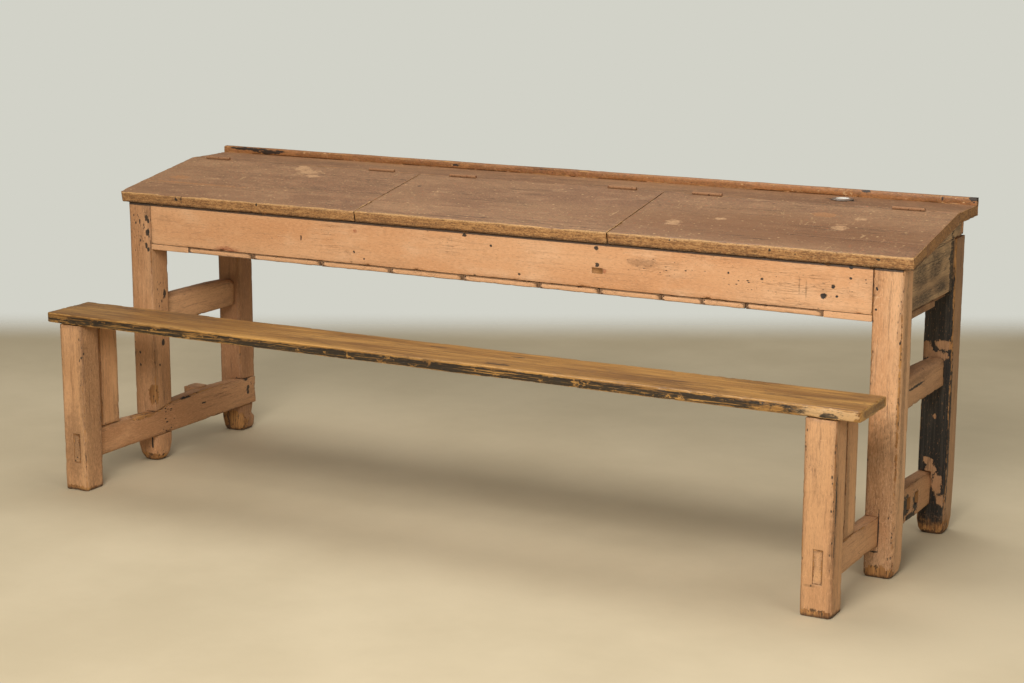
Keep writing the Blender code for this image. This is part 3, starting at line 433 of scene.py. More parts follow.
class Finish:
    """A material under construction, with the coordinates its patterns read."""

    def __init__(self, name, on_board=True):
        self.material = bpy.data.materials.new(name)
        self.material.use_nodes = True
        self.tree = self.material.node_tree
        self.shader = self.tree.nodes["Principled BSDF"]
        self.colour = None
        self.place = self.node("ShaderNodeTexCoord", out=3)
        self.grain = self.stored("grain", 1) if on_board else self.place
        if on_board:
            self.arris = self.stored("arris", 2)
            self.end = self.stored("end", 2)

    def node(self, kind, settings=None, values=(), out=0):
        """Adds any node: its settings first, then the values or links of its sockets."""
        made = self.tree.nodes.new(kind)
        for key, value in (settings or {}).items():
            setattr(made, key, value)
        pairs = values.items() if isinstance(values, dict) else enumerate(values)
        for key, value in pairs:
            if isinstance(value, Link):
                self.tree.links.new(value.socket, made.inputs[key])
            else:
                made.inputs[key].default_value = value
        return Link(self, made.outputs[out])

    def stored(self, key, out):
        return self.node("ShaderNodeAttribute", {"attribute_name": key}, out=out)

    def part(self, vector, axis):
        return self.node("ShaderNodeSeparateXYZ", None, (vector,), out=axis)

    def vector(self, operation, *values, out=0):
        return self.node("ShaderNodeVectorMath", {"operation": operation}, values, out)

    def noise(self, by, detail=2.0, rough=0.55, coords=None, swirl=0.0):
        """Noise on the board's own coordinates; by is how many cells to the metre each way."""
        return self.node("ShaderNodeTexNoise", None, {
            "Vector": self.vector("MULTIPLY", coords or self.grain, by), "Scale": 1.0,
            "Detail": detail, "Roughness": rough, "Distortion": swirl,
        })

    def nicks(self, by, size, coords=None):
        """Small pits: 1 nearer to a scattered point than a size that differs from pit to pit."""
        cells = {"Vector": self.vector("MULTIPLY", coords or self.grain, by), "Scale": 1.0}
        far = self.node("ShaderNodeTexVoronoi", None, cells)
        lot = self.part(self.node("ShaderNodeTexVoronoi", None, cells, out=1), 0)
        return (lot * size - far).ease(0.0, size * 0.3)

    def mix(self, share, first, second):
        return self.node(
            "ShaderNodeMix", {"data_type": "RGBA"}, {0: share, 6: first, 7: second}, out=2
        )

    def lay(self, share, shade):
        """Lays a shade over the colour worked out so far."""
        self.colour = self.mix(share, self.colour, shade)

    def patches(self, marks, ragged, reach, soft=0.1):
        """1 inside any of the ellipsoids given by middle and half sizes.

        A noise, times its reach and less half of it, makes the borders ragged.
        """
        border = ragged * reach - reach / 2
        found = None
        for place, size in marks:
            scaled = self.vector("SUBTRACT", self.place, place)
            scaled = self.vector("MULTIPLY", scaled, tuple(1 / value for value in size))
            far = self.vector("LENGTH", scaled, out=1)
            inside = (far + border).ease(0.95 + soft, 0.95 - soft)
            found = inside if found is None else found.most(inside)
        return found

    def band(self, low, high, ragged, reach):
        """1 inside a box given by its corners, with borders as those of the patches."""
        border = ragged * reach - reach / 2
        low, high = np.array(low), np.array(high)
        scaled = self.vector("SUBTRACT", self.place, tuple((low + high) / 2))
        scaled = self.vector("MULTIPLY", scaled, tuple(2 / (high - low)))
        scaled = self.vector("ABSOLUTE", scaled)
        far = self.part(scaled, 0).most(self.part(scaled, 1)).most(self.part(scaled, 2))
        return (far + border).ease(1.05, 0.9)

    def done(self, rough, bump, depth=0.0006, alpha=None, **constants):
        """Joins the colour worked out, the roughness, the height and the cover to the shader."""
        if alpha:
            self.tree.links.new(alpha.socket, self.shader.inputs["Alpha"])
        self.tree.links.new(self.colour.socket, self.shader.inputs["Base Color"])
        self.tree.links.new(rough.socket, self.shader.inputs["Roughness"])
        relief = self.node("ShaderNodeBump", None, {
            "Strength": 1.0, "Distance": depth, "Height": bump,
        })
        self.tree.links.new(relief.socket, self.shader.inputs["Normal"])
        for key, value in constants.items():
            self.shader.inputs[key.replace("_", " ")].default_value = value
        return self.material


def tone(red, green, blue):
    """A display colour from 0 to 255 as the shader's linear colour."""
    linear = [((v / 255 + 0.055) / 1.055) ** 2.4 for v in (red, green, blue)]
    return (*linear, 1.0)


BLACK = tone(34, 31, 28)
SOOT = tone(66, 60, 52)
COAL = tone(24, 21, 17)
GRIME = tone(66, 50, 36)
SMUDGE_AND_SHADE = tone(128, 92, 62)
BROWN_DIRT_AND_SHADE = tone(96, 67, 42)
GOLD = tone(190, 138, 80)
BARE = tone(180, 131, 78)
PALE_WOOD = tone(212, 172, 122)
RUST = tone(150, 70, 36)
PINK = tone(222, 171, 125)
PINK_DEEP = tone(208, 150, 102)
PINK_LIGHT = tone(232, 188, 146)
PINK_OLD = tone(206, 158, 114)
PINK_OLD_DEEP = tone(180, 130, 88)
MAUVE = tone(158, 119, 83)
MAUVE_DEEP = tone(131, 93, 63)
MAUVE_LIGHT = tone(180, 142, 102)
OCHRE = tone(187, 139, 72)


def wood_colour(finish, light, dark):
    """Streaks along the grain: two stretched noises that mix a light and a dark wood."""
    broad = finish.noise((1.6, 14.0, 14.0), 3.0, 0.6, swirl=0.4)
    fine = finish.noise((6.0, 280.0, 280.0), 3.0, 0.6)
    share = (broad * 0.5 + fine * 0.5).ease(0.38, 0.62)
    return finish.mix(share, dark, light), fine


def worn_paint(name, base=PINK, deep=PINK_DEEP, light=PINK_LIGHT, chips=1.0, grime_and_shade=1.0,
               cracked=1.0, joint=0.0, painted_lid_shadow=False, black=(), pepper=1.0,
               peppered=(), bands=(), keep=(), bare=(), dark=(), tint=()):
    """Old brush paint on wood: soft changes of tone, brush lines, stains, pits and rubbed arrises.

    Paint is gone where the reach of a noise is more than the distance to the arris, and shows
    wood with black nicks. The marks are placed patches of their own. A painted shadow can also be
    laid as a black band just below the lid noses.
    """
    f = Finish(name)
    broad = f.noise((1.1, 6.0, 6.0), 2.0, 0.5)
    cloud = f.noise((7.0, 17.0, 17.0), 4.0, 0.6)
    brush = f.noise((5.0, 230.0, 230.0), 3.0, 0.6)
    ragged = f.noise((90.0, 130.0, 130.0), 4.0, 0.66)
    near = f.arris.ease(0.013, 0.001)
    f.colour = f.mix(broad.ease(0.34, 0.64), deep, base)
    f.lay(cloud.ease(0.44, 0.8) * 0.7, light)
    f.lay(brush.ease(0.45, 0.7) * 0.3, deep)
    smudge = f.noise((6.0, 19.0, 19.0), 5.0, 0.7, swirl=0.5).ease(0.52, 0.8)
    speckle = f.noise((120.0, 300.0, 300.0), 3.0, 0.7).ease(0.45, 0.68)
    f.lay(smudge * (0.3 + speckle * 0.5) * grime_and_shade, SMUDGE_AND_SHADE)
    # Darker near the arrises: dirt, and painted shade where boards meet others
    f.lay(near * cloud.ease(0.35, 0.6) * 0.35 * grime_and_shade, SMUDGE_AND_SHADE)
    # Rust tints and brown patches: dirt, plus painted shade on the left bench leg's inner side
    for marks, shade, share in ((tint, RUST, 0.85), (dark, BROWN_DIRT_AND_SHADE, 0.6)):
        if marks:
            spread = f.patches(marks, ragged, 1.6, 0.4) * (0.6 + speckle * 0.4)
            f.lay(spread * share, shade)

    where = f.noise((4.0, 13.0, 13.0), 2.0, 0.6).ease(0.5, 0.66)
    crack = f.noise((4.5, 85.0, 85.0), 3.0, 0.6, swirl=0.6).line(0.008) * where
    pits = f.nicks((46.0, 75.0, 75.0), near * 0.14 + 0.12) * where.most(near * 0.8)
    hair = f.noise((3.0, 150.0, 150.0), 2.0, 0.6).line(0.006) * cloud.ease(0.45, 0.6)
    dust = f.nicks((150.0, 190.0, 190.0), 0.24) * where
    scratch = f.noise((26.0, 12.0, 26.0), 1.0, 0.5, swirl=1.6).line(0.0035)
    scratch = scratch * f.noise((5.0, 11.0, 11.0), 0.0).ease(0.56, 0.66)

    tips = f.noise((30.0, 90.0, 90.0), 4.0, 0.7)
    long_wear = f.noise((5.0, 14.0, 14.0), 2.0, 0.5).ease(0.36, 0.66)
    reach = (tips - 0.46) * 0.012 * chips + long_wear * 0.0022 * chips
    chip = (reach - f.arris).ease(0.0, 0.0004)
    rim = (reach - f.arris).ease(-0.0011, 0.0001) - chip
    flake = (tips * where).ease(0.69, 0.71)
    bared, fibre = wood_colour(f, GOLD, tone(128, 84, 46))
    burnt = f.noise((42.0, 110.0, 110.0), 3.0, 0.7).ease(0.55, 0.6)
    bared = f.mix(burnt * 0.8, bared, GRIME)
    if bare:
        chip = chip.most(f.patches(bare, ragged, 1.6))
    gone = chip.most(flake)
    if joint:
        f.lay(f.arris.ease(0.0022, 0.0006) * joint, GRIME)
    grit = f.noise((90.0, 400.0, 400.0), 3.0, 0.75)
    f.lay(grit.ease(0.54, 0.64) * 0.3, SMUDGE_AND_SHADE)
    streak = f.noise((7.0, 110.0, 110.0), 4.0, 0.72)
    f.lay(streak.ease(0.54, 0.66) * 0.32 * grime_and_shade, SMUDGE_AND_SHADE)
    f.lay(grit.ease(0.46, 0.37) * 0.35, light)
    lines = (crack * (0.7 * cracked)).most(hair * (0.15 + 0.3 * cracked))
    f.lay((rim * 0.3).most(lines).most(dust * 0.6), GRIME)
    f.lay(scratch * 0.5, light)
    f.lay(gone, bared)
    if peppered:
        dense = f.nicks((85.0, 150.0, 150.0), 0.42 * pepper)
        dense = dense.most(f.nicks((40.0, 95.0, 95.0), 0.27 * pepper))
        pits = pits.most(dense * f.patches(peppered, ragged, 2.0, 0.4))
    f.lay(pits * 0.9, BLACK)
    height_over_floor = f.part(f.place, 2)
    f.lay((height_over_floor - ragged * 0.012).ease(0.003, -0.003) * 0.7, GRIME)
    if painted_lid_shadow:
        # Painted shadow: a black band under the lid noses, for the shade beneath their overhang
        overhang, below, edge, deep = 0.009, 0.0042, 0.0014, 0.004
        level = slope_height(FRONT_LEG_LOW.y - overhang, LID_THICKNESS) - below
        shade = (height_over_floor + ragged * 0.0016).ease(level, level + edge)
        front = f.part(f.place, 1).ease(FRONT_LEG_LOW.y + deep, FRONT_LEG_LOW.y + deep / 2)
        f.lay(shade * front * 0.9, BLACK)
    if bands:
        soot = f.mix(brush.ease(0.5, 0.6) * 0.5 + cloud.ease(0.5, 0.7) * 0.3, COAL, SOOT)
        soot = f.mix(grit.ease(0.61, 0.67) * 0.6, soot, PINK_OLD_DEEP)
        left = 1 - f.patches(keep, ragged, 2.0)
        left = left * (1 - (tips * 0.010 - 0.0035 - f.arris).ease(0.0, 0.0006))
        for low, high in bands:
            f.lay(f.band(low, high, ragged, 0.3) * left, soot)
    if black:
        tar = f.patches(black, ragged, 2.2)
        f.lay(tar * (0.75 + brush * 0.4), BLACK)
    rough = 0.48 + cloud * 0.24 + gone * 0.15
    height = cloud * 0.3 + brush * 0.22 - gone * 0.7 - crack * 0.8 - pits - dust * 0.4
    return f.done(rough, height + fibre * gone * 0.6 - scratch * 0.25)


def top_paint(name, base=MAUVE, deep=MAUVE_DEEP, light=MAUVE_LIGHT, edge=BARE, chips=1.0, pale=(),
              black=(), warm=(), dark=(), nose=False, jointed=False):
    """Thin old paint on a much used top: streaked, scored all ways, rubbed to wood at arrises.

    A nose is the front face of a lid, within 2 to 6 mm of its front, where the paint is gone.
    """
    f = Finish(name)
    broad = f.noise((1.8, 6.0, 6.0), 3.0, 0.6)
    cloud = f.noise((12.0, 30.0, 30.0), 5.0, 0.7)
    streak = f.noise((4.0, 190.0, 190.0), 3.0, 0.62)
    ragged = f.noise((60.0, 110.0, 110.0), 4.0, 0.68)
    speckle = f.noise((150.0, 260.0, 260.0), 3.0, 0.7)
    f.colour = f.mix(broad.ease(0.34, 0.66), deep, base)
    f.lay(cloud.ease(0.48, 0.72) * 0.6, light)
    f.lay(streak.ease(0.46, 0.62) * 0.5, deep)
    f.lay(speckle.ease(0.5, 0.62) * cloud.ease(0.3, 0.6) * 0.6, tone(170, 112, 78))
    f.lay(speckle.ease(0.48, 0.36) * 0.5, tone(104, 76, 54))
    grit = f.noise((210.0, 420.0, 420.0), 2.0, 0.7)
    f.lay(grit.ease(0.56, 0.64) * 0.35, tone(92, 66, 46))
    f.lay(grit.ease(0.44, 0.36) * 0.35, light)
    stain = f.noise((9.0, 24.0, 24.0), 5.0, 0.72, swirl=0.6).ease(0.54, 0.74)
    f.lay(stain * 0.35, tone(96, 70, 52))
    if dark:
        # Darker patches: the right lid browner and partly painted shade, and one on the shelf
        darker_tone_and_shade = f.patches(dark, ragged, 0.8, 0.5) * (0.3 + speckle * 0.7)
        f.lay(darker_tone_and_shade, tone(124, 80, 42))
    some = f.noise((4.0, 9.0, 9.0), 1.0).ease(0.42, 0.6)
    across = f.noise((34.0, 9.0, 30.0), 1.0, 0.5, swirl=1.2).line(0.004)
    askew = f.noise((14.0, 18.0, 30.0), 1.0, 0.5, swirl=2.4).line(0.003)
    scored = across.most(askew) * (0.4 + some * 0.6)
    crack = f.noise((1.8, 60.0, 60.0), 3.0, 0.6, swirl=0.4).line(0.008)
    crack = crack * f.noise((3.0, 14.0, 14.0), 1.0).ease(0.5, 0.64)
    pits = f.nicks((70.0, 90.0, 90.0), 0.15)
    flecks = f.nicks((60.0, 120.0, 120.0), 0.24, f.vector("ADD", f.grain, (0.31, 0.77, 0.13)))
    flecks = flecks * ragged.ease(0.38, 0.5)
    rusty = f.nicks((60.0, 90.0, 90.0), 0.22, f.vector("ADD", f.grain, (0.57, 0.19, 0.83)))
    f.lay(rusty * some * 0.6, tone(178, 100, 60))
    tips = f.noise((22.0, 75.0, 75.0), 4.0, 0.7)
    long_wear = f.noise((5.0, 12.0, 12.0), 2.0, 0.5).ease(0.34, 0.66)
    reach = (tips - 0.40) * 0.014 * chips + long_wear * 0.003 * chips
    wood, fibre = wood_colour(f, edge, tone(146, 102, 62))
    chip = (reach - f.arris).ease(0.0, 0.0008)
    front = f.part(f.stored("inside", 1), 1)
    if jointed:
        chip = chip * front.ease(0.001, 0.010)
    if nose:
        chip = chip * front.ease(LID_FRONT_BOARD - 0.002, LID_FRONT_BOARD - 0.012)
        chip = chip.most((long_wear * 0.004 + tips * 0.012 - 0.003 - front).ease(0.0, 0.0008))
        chip = chip.most((0.0012 - front).ease(0.0, 0.0006))
    if pale:
        scuffed = f.patches(pale, ragged, 3.4, 0.3) * (speckle * 1.5 - 0.15)
        f.lay(scuffed, tone(204, 160, 116))
    if warm:
        warmth = f.patches(warm, ragged, 2.8) * (0.1 + speckle * 0.55)
        f.lay(warmth, tone(184, 122, 68))
    gone = chip.most((tips * some).ease(0.68, 0.71)).most(f.end)
    f.lay((crack * 0.7).most(pits * 0.75), GRIME)
    f.lay((scored * 0.5).most(flecks * 0.8), PALE_WOOD)
    f.lay(gone * 0.92, wood)
    fine = f.noise((60.0, 260.0, 260.0), 4.0, 0.75)
    f.lay(fine.ease(0.5, 0.6) * gone * 0.8, tone(110, 76, 44))
    f.lay(fine.ease(0.45, 0.36) * gone * 0.45, tone(212, 166, 108))
    if nose:
        over = f.part(f.stored("inside", 1), 2)
        top_light = (over + tips * 0.010).ease(LID_THICKNESS + 0.0005, LID_THICKNESS + 0.003)
        f.lay(top_light * gone * 0.45, tone(214, 170, 112))
        # The worn nose is darker towards its bottom
        darker_below = (over - ragged * 0.016).ease(-0.0004, -0.005)
        f.lay(darker_below * gone * 0.8, GRIME)
        chipped = f.nicks((120.0, 190.0, 190.0), 0.36) * ragged.ease(0.42, 0.55)
        f.lay(chipped * gone * 0.75, tone(60, 44, 30))
        f.lay(grit.ease(0.54, 0.62) * gone * 0.6, tone(124, 84, 48))
        f.lay(grit.ease(0.46, 0.38) * gone * 0.35, tone(214, 170, 112))
    if black:
        f.lay(f.patches(black, ragged, 3.0) * 0.93, BLACK)
    rough = 0.38 + cloud * 0.28 + gone * 0.14
    height = cloud * 0.3 + streak * 0.25 - crack - pits * 0.8 - scored * 0.3 - gone * 0.4
    return f.done(rough, height + fibre * gone * 0.6)


def plain_wood(name, light, dark, stain=GRIME, stained=0.4, rough=0.6, on_board=True, black=(),
               bands=(), bare=(), smoke=(), coat=0.0, edge=0.0, painted=False, dark_end=0.35):
    """Wood without paint: streaks, pores, old stain, cracks along the grain and darker ends."""
    f = Finish(name, on_board)
    f.colour, fibre = wood_colour(f, light, dark)
    figure = f.noise((0.8, 30.0, 30.0), 2.0, 0.5, swirl=1.0).line(0.05)
    f.lay(figure * 0.45, dark)
    blot = f.noise((4.0, 15.0, 15.0), 5.0, 0.7, swirl=0.7)
    ragged = f.noise((34.0, 90.0, 90.0), 4.0, 0.68)
    speckle = f.noise((60.0, 300.0, 300.0), 3.0, 0.7)
    f.lay(blot.ease(0.5, 0.68) * speckle.ease(0.3, 0.55) * stained, stain)
    pore = f.noise((20.0, 480.0, 480.0), 2.0, 0.5).ease(0.58, 0.7)
    crack = f.noise((1.5, 46.0, 46.0), 3.0, 0.6, swirl=0.4).line(0.008)
    crack = crack * f.noise((2.5, 12.0, 12.0), 1.0).ease(0.46, 0.58)
    dent = f.nicks((36.0, 60.0, 60.0), 0.16)
    f.lay((pore * 0.3).most(crack * 0.8).most(dent * 0.7), stain)
    if on_board:
        if edge:
            rubbed = (ragged * 0.013 - 0.0034 - f.arris).ease(0.0, 0.002)
            f.lay(rubbed * edge, tone(204, 154, 88))
        f.lay(f.end * dark_end, stain)
    if painted:
        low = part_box("floor_board_05")[0]
        wide, before, deep, under, over = 1.2, 0.01, 0.0025, 0.0015, 0.017
        skin = f.band((-wide, low.y - before, low.z - under), (wide, low.y + deep, low.z + over),
                      ragged, 0.0)
        f.lay(skin * (0.75 + ragged * 0.4), PINK)
        if on_board:
            f.lay(f.arris.ease(0.0022, 0.0006) * 0.7, GRIME)
    if smoke:
        smoked = f.patches(smoke, blot, 2.4, 0.6) * (speckle * 1.5 - 0.15)
        f.lay(smoked, BLACK)
    if bare:
        f.lay(f.patches(bare, ragged, 1.8) * 0.75, PALE_WOOD)
    if black:
        tar = f.patches(black, ragged, 2.2) * speckle.ease(0.25, 0.5)
        f.lay(tar * 0.9, BLACK)
    if bands:
        left = f.noise((9.0, 330.0, 330.0), 4.0, 0.72).ease(0.62, 0.55)
        left = left * f.noise((34.0, 60.0, 60.0), 4.0, 0.75).ease(0.64, 0.57)
        for low, high in bands:
            f.lay(f.band(low, high, ragged, 0.9) * left * 0.95, COAL)
    grit = f.noise((120.0, 400.0, 400.0), 3.0, 0.72)
    f.lay(grit.ease(0.56, 0.66) * 0.3, stain)
    height = fibre * 0.5 - pore * 0.4 - crack - dent * 0.8
    return f.done(rough - 0.1 + fibre * 0.2, height, Coat_Weight=coat, Coat_Roughness=0.25)


def rusted_iron(name, paint=None, sooted=0.0):
    """Iron browned by rust, with what is left of a coat of paint."""
    f = Finish(name, on_board=False)
    rust = f.noise((60.0, 60.0, 60.0), 5.0, 0.7)
    fine = f.noise((420.0, 420.0, 420.0), 3.0, 0.6)
    f.colour = f.mix(rust.ease(0.35, 0.65), tone(70, 46, 32), tone(140, 84, 46))
    f.lay(fine.ease(0.5, 0.7) * 0.5 + sooted, tone(44, 36, 30))
    if paint:
        f.lay(f.noise((110.0, 110.0, 110.0), 4.0, 0.7).ease(0.36, 0.44), paint)
    return f.done(0.55 + rust * 0.3, rust * 0.6 + fine * 0.4, 0.0003, Metallic=0.25)


def glazed_stoneware(name):
    """White glaze, greyed and crazed, with a trace of ink in the cup and a rim darkened brown,
    partly dirt and partly painted shade where it meets the hole.
    """
    f = Finish(name, on_board=False)
    cloud = f.noise((80.0, 80.0, 80.0), 4.0, 0.6)
    craze = f.noise((190.0, 190.0, 190.0), 3.0, 0.6).line(0.012)
    f.colour = f.mix(cloud.ease(0.35, 0.7), tone(214, 208, 194), tone(238, 234, 224))
    f.lay(craze * 0.35, tone(120, 104, 84))
    low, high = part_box("inkwell")
    middle = (low + high) / 2
    around = from_line(f, middle)
    # Rim darkened brown: dirt, and painted shade where the cup meets the hole
    dirt_and_shade = (around + cloud * 0.004).ease(0.0165, 0.0200)
    f.lay(dirt_and_shade * 0.88, tone(88, 64, 46))
    ink = [((middle.x, middle.y, middle.z - 0.009), (0.019, 0.019, 0.014))]
    f.lay(f.patches(ink, cloud, 0.5) * 0.9, tone(34, 33, 48))
    return f.done(0.12 + cloud * 0.2, cloud * 0.2 - craze * 0.4, 0.0002)


def from_line(finish, middle):
    """Distance from the vertical line through a point."""
    away = finish.vector("SUBTRACT", finish.place, tuple(middle))
    return finish.vector("LENGTH", finish.vector("MULTIPLY", away, (1.0, 1.0, 0.0)), out=1)


def front_marks(y, deep, rows):
    """Marks on a face that looks along Y: rows of x, z and the half sizes along x and z."""
    return [((x, y, z), (wide, deep, tall)) for x, z, wide, tall in rows]


def end_marks(x, deep, rows):
    """Marks on a face that looks along X: rows of y, z and the half sizes along y and z."""
    return [((x, y, z), (deep, long, tall)) for y, z, long, tall in rows]


def top_marks(deep, rows):
    """Marks on a top face: rows of x, y, z and the half sizes along x and y."""
    return [((x, y, z), (long, wide, deep)) for x, y, z, long, wide in rows]


